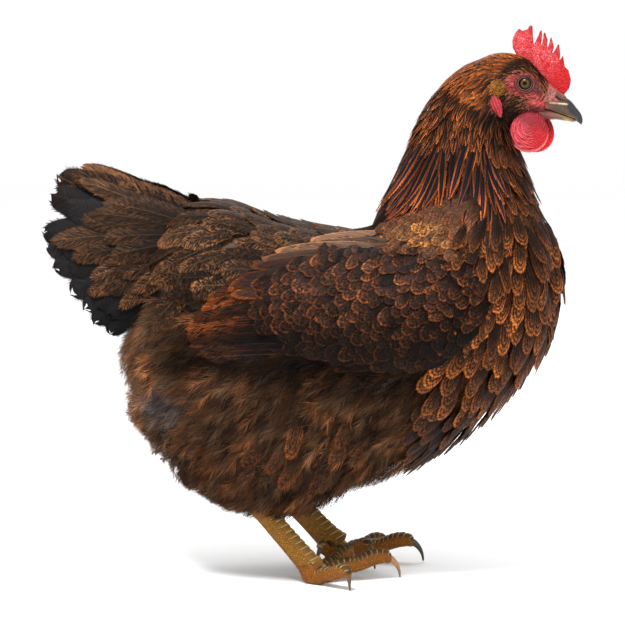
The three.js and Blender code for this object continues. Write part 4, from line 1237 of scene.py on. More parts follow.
class HEN_OT_comb(bpy.types.Operator):
    """Model the comb, the wattles and the earlobes"""

    bl_idname = "hen.comb"
    bl_label = "Comb and Wattles"

    def pebbled(self, piece, size, height):
        texture = bpy.data.textures.new(piece.name + "_pebbles", "VORONOI")
        texture.noise_scale = size * MM
        texture.distance_metric = "DISTANCE_SQUARED"
        apply_modifier(
            piece, "DISPLACE", texture=texture, strength=-height * MM, mid_level=0.4, texture_coords="LOCAL"
        )

    def make_comb(self):
        mesh = bpy.data.meshes.new("comb_blade")
        outline = array([(x, -COMB.thick / 2, z) for x, z in COMB_OUTLINE])
        mesh.from_pydata([tuple(p) for p in (outline + SHIFT) * MM], [], [tuple(range(len(outline)))])
        blade = linked("comb_blade", mesh)
        in_edit(
            blade,
            lambda: bpy.ops.mesh.extrude_region_move(TRANSFORM_OT_translate={"value": (0, COMB.thick * MM, 0)}),
            lambda: bpy.ops.mesh.select_all(action="SELECT"),
            lambda: bpy.ops.mesh.normals_make_consistent(inside=False),
        )
        apply_modifier(blade, "REMESH", mode="VOXEL", voxel_size=0.42 * MM)
        points = plan_points(blade)
        x, y, z = points.T
        y *= 1 - COMB.slim * maximum(0, hypot(x - COMB.foot[0], z - COMB.foot[1]) - COMB.solid)
        y += 0.9 * sin(x / 6) * ease(368, 390, z)
        place_points(blade, points)
        apply_modifier(blade, "SMOOTH", factor=0.5, iterations=4)
        self.pebbled(blade, 1, 0.6)
        tone = comb_tone(plan_points(blade))
        finish_toned(blade, tone, flesh_paint("comb_flesh", 0.45, 0.9, 0.9, 0.75), "comb_flesh", "comb")

    def make_wattle(self, side, mirror):
        middle = WATTLE.x + WATTLE_AHEAD[side]

        def folds(x, z):
            """How far each place lies from the wattle's root, and the wave of its folds there."""
            ring = hypot((x - middle) / 14, (z - 327) / 21)
            return ring, sin(ring * 64 + 2.2 * sin(x * 0.5) + 1.4 * sin(x * 1.3 + z * 0.9))

        def place(units):
            along, out, up = units.T
            hang = (1 - up) / 2
            x = middle + WATTLE.reach * along * (0.82 + 0.22 * hang)
            z = WATTLE.z + WATTLE.drop * up
            ring, wave = folds(x, z)
            ripple = wave * ease(0.25, 0.5, ring) * ease(1.1, 0.9, ring)
            y = WATTLE.side + WATTLE.splay * WATTLE.drop * hang + 1.2 * sin(along * 2.4) * hang
            y = y + signed_power(out, 0.8) * (WATTLE.thick * (1.25 - 0.4 * hang) + 0.28 * ripple)
            return stacked(x, mirror * y, z)

        wattle = add_sphere(f"wattle_flap_{side}", place, 160, 128)
        self.pebbled(wattle, 0.8, 0.25)
        points = plan_points(wattle)
        c, far = colours(), side == "left"
        x, _, z = points.T
        ring, wave = folds(x, z)
        streak = 0.5 + 0.5 * wave
        cloud = rough_noise(points, 1.4)
        tone = c.wattle * (0.5 + 0.8 * streak * ease(0.3, 0.6, ring) + 0.4 * cloud)[:, None]
        # The far wattle turns wholly to a red brighter than the comb's, as painted light against the shade it lies in;
        # the near one reddens towards its front.
        redder = (1 if far else 0.7) * ease(middle - 6, middle + (-2 if far else 12), x)
        tone = blend(tone, rgb(214, 8, 14) if far else c.comb, redder)
        # Painted highlights: pale on the fold crests towards the wattle's rear, much weaker on the far wattle.
        pale = mix(0.1, 0.7, streak**2) * ease(middle + 7, middle - 8, x)
        tone = blend(tone, rgb(228, 96, 104), (0.1 if far else 1) * pale)
        tone = blend(tone, rgb(120, 16, 30), 0.85 * ease(322, 330, z + 0.4 * (x - middle) + 2 * cloud))
        # Painted highlight: a pale rim round the lower edge, weaker on the far wattle.
        rim = ease(0.88, 0.97, hypot((x - middle) / 15, (z - WATTLE.z) / 15.1)) * ease(333, 328, z)
        tone = blend(tone, rgb(240, 130, 126), (0.2 if far else 0.7) * rim)
        finish_toned(wattle, tone, flesh_paint("wattle_flesh", 0.4, 0.7, 0.6, 0.35), "comb_flesh", f"wattle_{side}")

    def make_earlobe(self, side, mirror):
        foot = head_loft.side_at(array([EARLOBE.x]), array([EARLOBE.z]))[0]

        def place(units):
            along, out, up = units.T
            x = EARLOBE.x + EARLOBE.reach * along * (0.55 + 0.45 * ease(-1.2, 0.7, up)) - 3 * up
            z = EARLOBE.z + EARLOBE.rise * up
            y = foot + 0.6 + (EARLOBE.thick + 0.3 * sin(x * 2.6 + z * 1.1)) * out
            return stacked(x, mirror * y, z)

        lobe = add_sphere(f"earlobe_skin_{side}", place, 64, 48)
        points = plan_points(lobe)
        fold = sin(points[:, 0] * 2.6 + points[:, 2] * 1.1 + 2 * rough_noise(points, 3))
        tone = colours().lobe * (0.85 + 0.35 * fold + 0.3 * rough_noise(points, 1.5))[:, None]
        finish_toned(lobe, tone, flesh_paint("lobe_flesh", 0.5, 0.8, 0.5), "comb_flesh", f"earlobe_{side}")

    def execute(self, context):
        self.make_comb()
        for side, mirror in SIDES.items():
            self.make_wattle(side, mirror)
            self.make_earlobe(side, mirror)
        return {"FINISHED"}


# ---------- the legs ----------
# How far back and up the shank runs from the ankle.
SHANK_RISE = {"right": (-57, 64), "left": (-62, 62.5)}
SHANK_WIDE, SHANK_DEEP = 5.8, {"right": 7.6, "left": 9}
ANKLE = {"right": (7.5, -50, 11.5), "left": (8, 46, 13)}
# A toe's name, its turn from straight ahead on each side, reach, thickness, arch, claw length and forward hook.
TOES = (
    ("inner", {"right": -60, "left": -44}, 45, 10, 1.15, 13, 0.6),
    ("middle", {"right": -27, "left": 5}, 59, 11.5, 1, 16, 0.64),
    ("outer", {"right": 42, "left": 38}, 43, 10, 0.8, 13, 0.25),
    ("hind", {"right": -112, "left": -118}, 16, 9, 0.7, 10, 0.6),
)
# Along a toe: the share of its reach, its sole's height, and its depth and width as shares of its thickness.
TOE_SHAPE = (
    (0, -0.9, 1, 1.05), (0.2, -0.9, 1, 1), (0.41, 4.4, 1, 0.94), (0.6, 6, 0.93, 0.96),
    (0.8, 9.8, 0.98, 0.94), (0.93, 10.8, 0.88, 0.84), (1, 10.4, 0.6, 0.6),
)


def toe_rings(reach, thick, arch):
    rings = [(-4, 8, 0, 0)]
    for at, low, deep, wide in TOE_SHAPE:
        radius = thick / 2 * deep
        rings.append((reach * at, (low * arch if low > 0 else low) + radius, thick / 2 * wide, radius))
    x, z, _, deep = rings[-1]
    rings.append((x + deep * 0.8, z, 0, 0))
    return rings


def claw_rings(reach, thick, arch, claw, hook):
    x, z, _, _ = toe_rings(reach, thick, arch)[len(TOE_SHAPE)]
    rings = [(x - 3, z + 1, 0, 0)]
    steps = 6
    for k in range(steps + 1):
        s = k / steps
        place = x - 1.8 + claw * hook * sin(s * 1.5)
        rings.append((place, mix(z + 1, 0.5, s**1.6), mix(2.4, 0.5, s), mix(3.1, 0.6, s)))
    rings.append((rings[-1][0] + 0.1, 0, 0, 0))
    return rings


def shank_rings(side):
    ax, _, az = ANKLE[side]
    back, up = SHANK_RISE[side]
    rings = [(ax + back - 3, az + up + 3, 0, 0)]
    for s in (1, 0.8, 0.6, 0.4, 0.2, 0.06, -0.04):
        knob = (2 * s - 1) ** 4
        wide, deep = SHANK_WIDE * (1 + 0.25 * knob), SHANK_DEEP[side] * (1 + 0.16 * knob)
        rings.append((ax + back * s, az + up * s, wide, deep))
    rings.append((ax + 6, az - 5, 0, 0))
    return rings


def limb_line(rings, turn, origin, samples=70):
    """Points along a limb's middle with their ways along, sideways and up."""
    table = array(rings, float)
    k = linspace(0, len(table) - 1, samples)
    x, z = (through(arange(len(table)), table[:, i], k) for i in (0, 1))
    c, s = cos(radians(turn)), sin(radians(turn))
    line = stacked(origin[0] + x * c, origin[1] + x * s, z)
    way = unit(np.gradient(line, axis=0))
    side = unit(cross([0, 0, 1], way))
    return line, way, side, cross(way, side)


HONEYCOMB_ROW = 1.732  # how high two rows of a honeycomb's cells are, for cells 1 wide


def scattered(values, by):
    """Turns numbers into numbers from 0 to 1 that look random."""
    return np.modf(np.abs(sin(values) * by))[0]


def hexagons(u, v, size):
    """A honeycomb: how near each place is to its cell's rim, from 0 at the middle to 1, and the cell's luck."""
    best = np.full(len(u), 1e9)
    second = np.full(len(u), 1e9)
    luck = zeros(len(u))
    for shift in (0, 0.5):
        row = np.round(v / (size * HONEYCOMB_ROW) - shift) + shift
        for step in (0, 1):
            column = np.floor(u / size - shift) + shift + step
            d = hypot(u - column * size, v - row * size * HONEYCOMB_ROW)
            chance = scattered(column * 12.9898 + row * 78.233, 43758.5453)
            second = np.where(d < best, best, minimum(second, d))
            luck = np.where(d < best, chance, luck)
            best = minimum(best, d)
    return 1 - clip((second - best) / size, 0, 1), luck


def scale_relief(points, limbs):
    """The height and colours of plates on top of the toes and down the shank, and of fine scales elsewhere."""
    found = []
    for is_toe, (line, way, side, up) in limbs:
        lengths = concatenate([[0], np.cumsum(norm(np.diff(line, axis=0), axis=1))])
        away = norm(points[:, None] - line, axis=2)
        index = away.argmin(axis=1)
        off = points - line[index]
        along, aside, above = (np.sum(off * ways[index], axis=1) for ways in (way, side, up))
        toe = np.full(len(points), is_toe)
        found.append((away.min(axis=1), lengths[index] + along, arctan2(aside, above), toe))
    found = array(found)
    radius, along, turn, toe = found[found[:, 0].argmin(axis=0), :, arange(len(points))].T
    c = colours()
    arc = turn * radius
    size = np.where(toe > 0, 3.6, 5.2)
    phase = along / size + 0.35 * np.abs(turn) + np.where((toe < 1) & (turn > 0), 0.5, 0)
    part = phase - np.floor(phase)
    top = ease(1.15, 0.85, np.abs(turn))
    seam = maximum(ridge(part, 0, 0.09, 1), ridge(part, 1, 0.09, 1))
    seam = maximum(seam, np.where(toe < 1, ridge(turn, 0, 0.07, 0.8), 0))
    rim, luck = hexagons(along, arc, 2.1)
    groove = ease(0.55, 0.95, rim)
    plate_luck = scattered(np.floor(phase) * 91.7, 437.5)
    height = mix(0.22 * (1 - 1.7 * groove), 0.5 * part**0.7 - 0.75 * seam, top)
    ground = blend(c.leg, c.leg_warm, 0.25 + 0.6 * toe)
    ground = ground * (0.8 + 0.45 * luck)[:, None]
    ground = blend(ground, rgb(78, 52, 22), 0.8 * groove)
    plates = blend(c.plate, c.leg, (1 - toe) * 0.45 + 0.25 * plate_luck)
    plates = blend(plates, c.seam, 0.85 * ease(0.25, 0.8, seam))
    tone = blend(ground, plates, top)
    under = ease(2.2, 2.7, np.abs(turn))
    tone = blend(tone, c.leg_warm * 0.75, 0.5 * under)
    return height, tone


class HEN_OT_legs(bpy.types.Operator):
    """Model the scaly legs, feet and claws"""

    bl_idname = "hen.legs"
    bl_label = "Legs and Claws"

    def execute(self, context):
        claw_colour = {"right": 0.55, "left": 0}
        scales, horn = scale_paint(), horn_paint()
        for side, mirror in SIDES.items():
            ankle = ANKLE[side]
            shank = swept(shank_rings(side), origin=(0, ankle[1]), floor=0)
            pad_centre = array([ankle[0] + 3, ankle[1], 6.5])

            def pad(units):
                points = pad_centre + units * [10, 9, 9]
                points[:, 2] = maximum(0, points[:, 2])
                return points

            forms = [add_sphere("shank_form", shank, 32, 64), add_sphere("pad_form", pad, 32, 24)]
            limbs = [(0, limb_line(shank_rings(side), 0, (0, ankle[1])))]
            for name, turns, reach, thick, arch, claw, hook in TOES:
                turn = mirror * turns[side]
                rings = toe_rings(reach, thick, arch)
                forms.append(add_sphere("toe_form", swept(rings, 2, turn, ankle[:2], 0), 32, 48))
                limbs.append((1, limb_line(rings, turn, ankle[:2])))
                horn_shape = swept(claw_rings(reach, thick, arch, claw, hook), 2, turn, ankle[:2], 0)
                talon = add_sphere(f"talon_{name}_{side}", horn_shape, 24, 40)
                points = plan_points(talon)
                pale = claw_colour[side] if name == "middle" else 0.1
                tone = mix(colours().claw, rgb(172, 128, 78), pale)
                tone = tone * (0.8 + 0.5 * ease(2, 12, points[:, 2]))[:, None]
                finish_toned(talon, tone, horn, "horn", f"claw_{name}_{side}")
            leg = fused(forms, f"leg_skin_{side}", 0.62, 3)
            points, normals = plan_points(leg), normals_of(leg)
            height, tone = scale_relief(points, limbs)
            points += normals * height[:, None]
            points[:, 2] = maximum(0, points[:, 2])
            place_points(leg, points)
            finish_toned(leg, tone, scales, "leg_scales", f"shank_{side}", f"foot_{side}")
        return {"FINISHED"}


# ---------- wings and tail: tiers of overlapping vanes ----------
def bent(points, t):
    """A place on a curve through three points, or on a line through two."""
    a, b = array(points[0], float), array(points[-1], float)
    if len(points) == 2:
        return mix(a, b, t)
    middle = array(points[1], float) * 2 - (a + b) / 2
    return a * (1 - t) ** 2 + 2 * middle * t * (1 - t) + b * t**2


def tier_lines(roots, tips, steps, side_of, lift, mirror, droop, draw):
    """The lines of side feathers: each lies on side_of(x, z), lifted a little more towards its tip."""
    way = unit(tips - roots)
    bow = droop * norm(tips - roots, axis=1)
    flat = blend(roots[:, None], tips[:, None], steps)
    flat = flat + stacked(way[:, 1], -way[:, 0])[:, None] * (bow[:, None] * sin(pi * steps))[..., None]
    x, z = flat[..., 0], flat[..., 1]

    def side(dx=0, dz=0):
        return side_of((x + dx).ravel(), (z + dz).ravel()).reshape(x.shape)

    wobble = draw.normal(0, 0.25, (len(roots), 1)) * steps
    line = stacked(x, mirror * (side() + mix(*lift, steps) + wobble), z)
    slopes = [(side(*step) - side(*(-step))) / (2 * SLOPE_STEP) for step in np.eye(2) * SLOPE_STEP]
    slope_x, slope_z = clip(slopes, -0.8, 0.8)
    up = unit(stacked(-slope_x, np.full(x.shape, float(mirror)), -slope_z))
    return line, unit(cross(up, unit(np.gradient(line, axis=1)))), up


# A tier: its feather count, width, roots and tips (x, z) from the lowest feather to the highest, lift, and droop.
WING_TIERS = (
    ("flight_tips", 4, 14, ((34, 162), (26, 172)), ((-58, 159), (-77, 168)), (-1.5, -1.5), 0.02),
    ("secondaries", 9, 18, ((24, 172), (56, 240)), ((-78, 173), (-71, 191), (-47, 210)), (-0.8, 0.2), 0.03),
    ("tertials", 8, 12, ((56, 218), (84, 246)), ((-46, 208), (-30, 228), (6, 242)), (0.4, 3.4), 0.02),
    ("great_coverts", 9, 15, ((92, 170), (66, 234)), ((32, 155), (0, 188), (4, 230)), (0.4, 1.2), 0.03),
)
# The scaly coverts cover this outline with their tips.
COVERTS = (
    (14, 238), (-8, 226), (-32, 213), (-37, 200), (-28, 184), (-12, 169), (14, 161), (44, 157), (66, 152),
    (88, 152), (104, 159), (117, 169), (126, 184), (130, 206), (126, 234), (104, 240), (76, 236), (40, 244),
)
COVERT_GRID = (8, 6.8)  # the spacing across and along the rows
SHOULDER = ((46, 240), (80, 234), (106, 231), (112, 240), (106, 254), (98, 263), (82, 261), (60, 255), (44, 250))
TAIL_FAN = (-98, 238)


class HEN_OT_wings(bpy.types.Operator):
    """Model the folded wings, vane by vane"""

    bl_idname = "hen.wings"
    bl_label = "Wings"

    def vanes(self, name, side, lines, *settings, paint=None):
        feather_piece(f"{name}_{side}", paint or self.paint, "wing_feathers", (f"wing_{side}",), lines, *settings)

    def execute(self, context):
        self.paint = feather_paint("wing_feathers", 0.55, 0.06, (0.5, 0.88), (0.84, 0.93), 0.75)
        self.bow_paint = feather_paint("bow_feathers", 0.6, 0.06, (0, 0.4), (0.87, 0.97), 0.9)
        for side, mirror in SIDES.items():
            draw = default_rng(31)
            for tier in WING_TIERS:
                self.tier(side, mirror, draw, *tier)
            self.scaly_coverts(side, mirror, draw)
            self.bow(side, mirror, draw)
        return {"FINISHED"}

    def tier(self, side, mirror, draw, name, count, width, roots, tips, lift, droop):
        c = colours()
        k = (arange(count) + draw.uniform(-0.12, 0.12, count)) / (count - 1)
        root = array([bent(roots, t) for t in k])
        tip = array([bent(tips, t) for t in k]) + draw.normal(0, 1, (count, 2))
        line, across, up = tier_lines(root, tip, LONG_STEPS, wing_side, lift, mirror, droop, draw)
        line = line + up * (arange(count) * (1.6 / count) + draw.uniform(0, 0.4, count))[:, None, None]
        width = width * draw.uniform(0.85, 1.12, count)
        specks = c.flight_orange * mix(0.25, 0.8, ease(0, 0.3, k))[:, None]
        top = ease(0.4, 0.8, k)
        ground, edge = blend(c.covert_top * 1.2, c.bow * 1.9, top), blend(c.covert_edge * 0.6, c.tertial_edge, top)
        look = {
            "flight_tips": (c.tail_black, c.flight_orange, (0.1, 0, 0.4), 0.12),
            "secondaries": (c.covert, specks, (0.5, 0.7, 1.1), 0.3),
            "tertials": (ground, edge, (1.4, 0.1, 0.35), 0.2),
            "great_coverts": (c.covert, c.covert_edge, (0.55, 0, 0.15), 0.12),
        }[name]
        paint = self.bow_paint if name == "tertials" else self.paint
        self.vanes(name, side, (line, across, up), width, LONG_STEPS, look, draw, 9, 0.2, 40, 1.6, paint=paint)

    def scaly_coverts(self, side, mirror, draw):
        """Rows of small laced coverts, like roof tiles, that turn downwards towards the wing's front."""
        c = colours()
        across, along = COVERT_GRID
        a, b = np.meshgrid(arange(-17, 18), arange(-17, 18), indexing="ij")
        a = (a + 0.5 * (b % 2)) * across
        turn = radians(218)
        x = 66 + b * along * cos(turn) + a * sin(turn)
        z = 200 + b * along * sin(turn) - a * cos(turn)
        tips = stacked(x.ravel(), z.ravel()) + draw.normal(0, 1.5, (x.size, 2))
        tips = tips[outline_distance(COVERTS, *tips.T) < 0]
        x, z = tips.T
        count = len(tips)
        ahead = ease(-30, 118, x) * mix(0.45, 1, ease(162, 200, z))
        down = radians(mix(14, 66, ahead) + draw.normal(0, 8, count))
        length = mix(30, 20, ahead) * draw.uniform(0.85, 1.15, count)
        roots = tips + stacked(cos(down), sin(down)) * length[:, None]
        lines = tier_lines(roots, tips, VANE_STEPS, wing_side, (1.8, 4.6), mirror, 0.02, draw)
        width = mix(13, 9.6, ahead) * draw.uniform(0.8, 1.2, count)
        # The lacing fades to dark towards the wing's lower edge, as painted shade; the ground also darkens downwards,
        # from the upper coverts' colour.
        ground = blend(c.covert, c.covert_top, ease(175, 235, z))
        look = ground, c.covert_edge * mix(1, 0.22, ease(210, 168, z))[:, None], (0.8, 0.3, 0.3), 0.35
        self.vanes("scaly_coverts", side, lines, width, VANE_STEPS, look, draw, 7, 0.1, 22, 1.5)

    def bow(self, side, mirror, draw):
        """The wing's shoulder: small brown feathers laced with gold."""
        c = colours()
        x, z = draw.uniform(44, 114, 2400), draw.uniform(230, 266, 2400)
        kept = []
        for p in stacked(x, z)[outline_distance(SHOULDER, x, z) < 0]:
            if all(hypot(*(p - q)) > 4.8 for q in kept):
                kept.append(p)
        tips = array(kept)
        x, z = tips.T
        down = radians(mix(12, 40, ease(56, 112, x)) + draw.normal(0, 5, len(x)))
        roots = tips + stacked(cos(down), sin(down)) * draw.uniform(20, 28, len(x))[:, None]
        lines = tier_lines(roots, tips, VANE_STEPS, wing_side, (2.2, 5), mirror, 0.01, draw)
        width = draw.uniform(7, 10, len(x))
        mark = blend(c.covert_edge * 1.3, c.bow_gold, ease(0, 9, -outline_distance(SHOULDER, x, z)))
        look = c.bow, mark, (1, 0.5, 0.6), 0.18
        self.vanes(
            "bow_feathers", side, lines, width, VANE_STEPS, look, draw, 5, 0.1, 14, 1.4, paint=self.bow_paint
        )


# A tier of the tail: its feather count and width, the fan's centre, where its feathers start from there, the
# turns of its first and last feather in degrees, their reach from the centre along the fan, lift, pattern,
# how ragged the tips are, and its barbs.
TAIL_TIERS = (
    ("tail_main", 9, 27, TAIL_FAN, 14, (151, 234), (104, 99, 89, 78, 78), (1, 1.4), (0.1, 0, 0.1), 6, 60, 4),
    ("tail_second", 8, 26, TAIL_FAN, 10, (149, 230), (92, 87, 79, 70, 68), (2, 3.2), (0.15, 0, 0.3), 3.5, 50, 3),
    (
        "tail_coverts", 13, 17, (-66, 243), 8, (153, 214), (112, 114, 104, 98, 86), (3, 5.4), (0.15, 0, 0.9),
        2, 44, 3,
    ),
    ("tail_short", 12, 17, (-60, 243), 0, (153.5, 214), (90, 88, 86, 80, 76), (4, 7), (0.3, 0, 0.9), 1.5, 38, 3),
)


class HEN_OT_tail(bpy.types.Operator):
    """Model the fanned tail, vane by vane"""

    bl_idname = "hen.tail"
    bl_label = "Tail"

    def execute(self, context):
        self.paint = feather_paint("tail_feathers", 0.5, 0.06, (0.1, 0.85))
        for side, mirror in SIDES.items():
            draw = default_rng(53)
            for tier in TAIL_TIERS:
                self.tier(side, mirror, draw, *tier)
        return {"FINISHED"}

    def tier(self, side, mirror, draw, name, count, width, centre, foot, turns, reach, lift, pattern, *edge):
        c = colours()
        ragged, barbs, barb_length = edge
        brown = name in ("tail_coverts", "tail_short")
        k = clip(arange(count) / (count - 1) + draw.normal(0, 0.02, count), 0, 1.02)
        far = interp(k, linspace(0, 1, len(reach)), reach) + draw.normal(0, 6 if brown else 1.5, count)
        turn = radians(mix(*turns, k))
        askew = turn + radians(draw.normal(0, 3.5 if brown else 1, count)) * (k > 0.1)
        root = array(centre) + stacked(cos(turn), sin(turn)) * foot
        tip = array(centre) + stacked(cos(askew), sin(askew)) * far[:, None]
        line, across, up = tier_lines(root, tip, LONG_STEPS, tail_side, lift, mirror, 0.03, draw)
        layer = count - 1 - arange(count) + (draw.uniform(-2.5, 2.5, count) if brown else 0)
        line = line + up * (np.where(k < 0.1, 0, layer) * 0.35)[:, None, None]
        width = width * draw.uniform(0.8, 1.2, count)
        top = maximum(float(brown), ease(0.16, 0.02, k))
        low = mix(1, 0.6, ease(0.3, 0.9, k))[:, None]
        ground, mark = blend(c.tail_black, c.saddle, top) * low, blend(c.saddle, c.pepper, top) * low
        feather_piece(
            f"{name}_{side}", self.paint, "tail_feathers", ("tail",), (line, across, up), width, LONG_STEPS,
            (ground, mark, pattern, 0.4 if brown else 0.2), draw, 11, 0.16, barbs, barb_length, ragged,
        )


# ---------- the coat's tracts ----------
def grow(
    name, paint, seed, where, spacing, length, width, lift, look, vary, loose, columns, camber, barbs, barb_length,
    pointed=False, steps=VANE_STEPS, slot="body_feathers",
):
    """Grows a tract of the coat where where(x, y, z) holds. A size may be a function of the roots' x, y, z."""
    draw = default_rng(seed)
    roots = spread_roots(where, spacing, draw)

    def at_roots(size):
        return size(*roots.T) if callable(size) else size

    length = at_roots(length) * draw.uniform(0.86, 1.12, len(roots))
    width = at_roots(width) * draw.uniform(0.9, 1.1, len(roots))
    lines = lay_lines(roots, length, steps, at_roots(lift), draw, loose)
    feather_piece(
        name, paint, slot, (), lines, width, steps, (*at_roots(look), vary), draw, columns, camber, barbs,
        barb_length, 0, pointed, roots,
    )


# The dark stripe over the eye: its two ends and its half width.
BROW = (
    ((129, 353.5), (140, 359.4), 1.6), ((140, 359.4), (147, 364.6), 2.2), ((147, 364.6), (156, 368), 3),
    ((156, 368), (165.2, 364), 3.2), ((165.2, 364), (169.6, 356.5), 2.4), ((169.6, 356.5), (170.4, 350.5), 1.8),
)


def face_where(x, y, z):
    lobe = (hypot((x - 135.9) / 4, (z - 339.4) / 7) > 1) & (tuft_distance(x, z) > EAR_TUFT[2])
    horn = (x > 168) & (z < 343)
    comb_foot = (np.abs(y) < 2.2) & (x > 150)
    return (beyond(HEAD_LINE, x, z) > 2) & (bare_distance(x, z) > 0.4) & lobe & ~horn & ~comb_foot & (x < 178)


def face_length(x, y, z):
    full = mix(coat_sizes().crown_length / MM, 14, ease(126, 104, x))
    full = mix(minimum(full, 2.6 + 0.9 * maximum(bare_distance(x, z), 0)), 9, ease(336, 328, z))
    ahead = (x > EAR_TUFT[0] - 3) & (z > EAR_TUFT[1] - 5)
    return np.where(ahead, minimum(full, maximum(1.6, tuft_distance(x, z) - EAR_TUFT[2] + 0.8)), full)


def face_lift(x, y, z):
    throat = ease(338, 330, z) * ease(128, 138, x)
    nape = ease(134, 110, x) * ease(350, 360, z)
    return 0.2 + 1.8 * throat + 2.2 * nape, 1 + 3.4 * throat + 2.6 * nape


def face_look(x, y, z):
    c = colours()
    stripe = ease(1.25, 0.6, np.min([segment_distance(x + 1, z, a, b) / w for a, b, w in BROW], axis=0))
    stripe = maximum(stripe, ease(5.5, 3.5, bare_distance(x, z)) * ease(352, 356, z))
    throat = ease(356, 346, z) * ease(124, 134, x)
    mark = blend(blend(c.crown, c.dark, 0.85 * stripe), c.dark * 1.8, 0.85 * throat)
    ground = blend(blend(c.crown * 0.55, c.dark * 0.6, stripe), c.dark * 0.7, throat)
    return ground, mark, (0.9, 0, 0.2)


class HEN_OT_head_coat(bpy.types.Operator):
    """Lay the small feathers of the face, the crown and the throat"""

    bl_idname = "hen.head_coat"
    bl_label = "Head Feathers"

    def execute(self, context):
        gold = colours().gold
        paint = feather_paint("head_feathers", 0.5, 0.08, (0.1, 0.5), fine=1.6)
        grow(
            "head_feathers", paint, 7, face_where, 1.7, face_length,
            lambda x, y, z: clip(face_length(x, y, z) * 0.2, 0.9, 1.7), face_lift, face_look, 0.4, 9, 3, 0.4, 5,
            0.8, True, SHORT_STEPS,
        )
        grow(
            "ear_tufts", paint, 8, lambda x, y, z: (tuft_distance(x, z) < EAR_TUFT[2] + 0.2) & (np.abs(y) > 8), 0.8,
            3.6, 0.7, (0.1, 0.6), (gold * 0.5, gold, (0.8, 0, 0.3)), 0.25, 12, 3, 0.4, 4, 0.4, True, SHORT_STEPS,
        )
        return {"FINISHED"}


def neck_front(x, z):
    """From 0 on the neck's sides and back to 1 on its front."""
    return ease(-4, 8, x - interp(z, [230, 262, 300, 335], [142, 136, 128, 126]))


def neck_where(x, y, z):
    return (beyond(HEAD_LINE, x, z) < 5) & (z > 292)


def neck_length(x, y, z):
    return coat_sizes().neck_length / MM * mix(0.6, 1.5, ease(352, 300, z))


def neck_lift(x, y, z):
    full = ease(0.2, 0.9, neck_front(x, z)) * ease(352, 338, z)
    nape = ease(118, 104, x) * ease(322, 340, z)
    return 0.8 + 2 * full + 1.6 * nape, 2.8 + 2.4 * full + 1.8 * nape


def neck_look(x, y, z):
    c = colours()
    down, front = ease(336, 300, z), neck_front(x, z)
    ground = blend(blend(c.dark, c.blue_black, down), c.dark, 0.8 * front)
    mark = blend(blend(c.crown, c.orange, down * (1 - front)), c.dark * 1.6, 0.55 * front)
    return ground, mark, (0.95, 0, 0.1)


def hackle_hem(x):
    """The height that the hackle's tips come down to."""
    return interp(x, [36, 74, 106, 114, 134], [247, 250, 260, 240, 232])


def hackle_lift(x, y, z):
    rear = ease(84, 66, x)
    return 1.6 - 0.8 * rear, 6.8 - 4 * rear


def throat_lift(x, y, z):
    up = ease(290, 312, z)
    return 1.2 + 1.4 * up, 3 + 2 * up


class HEN_OT_hackle(bpy.types.Operator):
    """Lay the neck's feathers: the brown upper neck, the laced hackle and the cape"""

    bl_idname = "hen.hackle"
    bl_label = "Neck and Hackle"

    def execute(self, context):
        c, longest = colours(), coat_sizes().hackle_length / MM
        paint = feather_paint("hackle_feathers", 0.45, 0.06, (0.2, 0.5))
        slot = "hackle_feathers"
        grow(
            "nape_feathers", paint, 11, lambda x, y, z: neck_where(x, y, z) & (z > 326), 2.7, neck_length,
            lambda x, y, z: mix(1.8, 3, ease(356, 326, z)), neck_lift, neck_look, 0.35, 7, 3, 0.35, 9, 1, True,
            slot=slot,
        )
        grow(
            "neck_feathers", paint, 14, lambda x, y, z: neck_where(x, y, z) & (z < 334), 4.3, neck_length, 4,
            neck_lift, neck_look, 0.3, 6, 3, 0.35, 9, 1, True, slot=slot,
        )
        grow(
            "hackle_feathers", paint, 12,
            lambda x, y, z: (z > hackle_hem(x) + 12) & (z < 316) & (neck_front(x, z) < 0.6), 5.6,
            lambda x, y, z: clip(z - hackle_hem(x), 14, longest), 5.6, hackle_lift,
            (c.blue_black, c.orange, (1, 0, 0)), 0.25, 4.5, 5, 0.4, 16, 1.3, True, LONG_STEPS[::2], slot,
        )
        grow(
            "throat_feathers", paint, 13, lambda x, y, z: (z > 232) & (z < 318) & (neck_front(x, z) > 0.35), 6, 24,
            5.8, throat_lift, (c.dark, c.chestnut * 0.85, (0.9, 0.5, 0.2)), 0.25, 7, 5, 0.3, 10, 1.3,
        )
        return {"FINISHED"}


def breast_where(x, y, z):
    under_wing = (outline_distance(WING_OUTLINE, x, z) < -6) & (np.abs(y) > 40)
    return (x > interp(z, *BREAST_EDGE)) & (z < 262) & (z > 84) & ~under_wing


def breast_lift(x, y, z):
    low = ease(210, 165, z)
    return 2.4 + 1.8 * low, 7.4 + 4 * low


def breast_look(x, y, z):
    c, low = colours(), ease(165, 125, z)
    pattern = stacked(mix(0.95, 0.5, low), mix(0.75, 0.35, low), np.full(len(x), 0.3))
    return blend(c.dark, c.down_root, 0.6 * low), blend(c.chestnut, c.down_tip, 0.55 * low), pattern


def flank_where(x, y, z):
    return (x > 112 + 0.12 * np.abs(z - 215)) & (x < 140) & (z > 176) & (z < 262) & (np.abs(y) > 34)


def back_where(x, y, z):
    top = interp(x, [-140, -100, -60, -20, 20, 60, 90], [236, 218, 206, 214, 232, 240, 244])
    return (z > top) & (x < 74) & (x > -132)


def back_lift(x, y, z):
    full = ease(-108, -88, x) * ease(74, 30, x)
    hump = exp(-(((x + 56) / 20) ** 2))
    return 1 + 1.6 * full + 1.2 * hump, 2 + 4.4 * full + 2.4 * hump


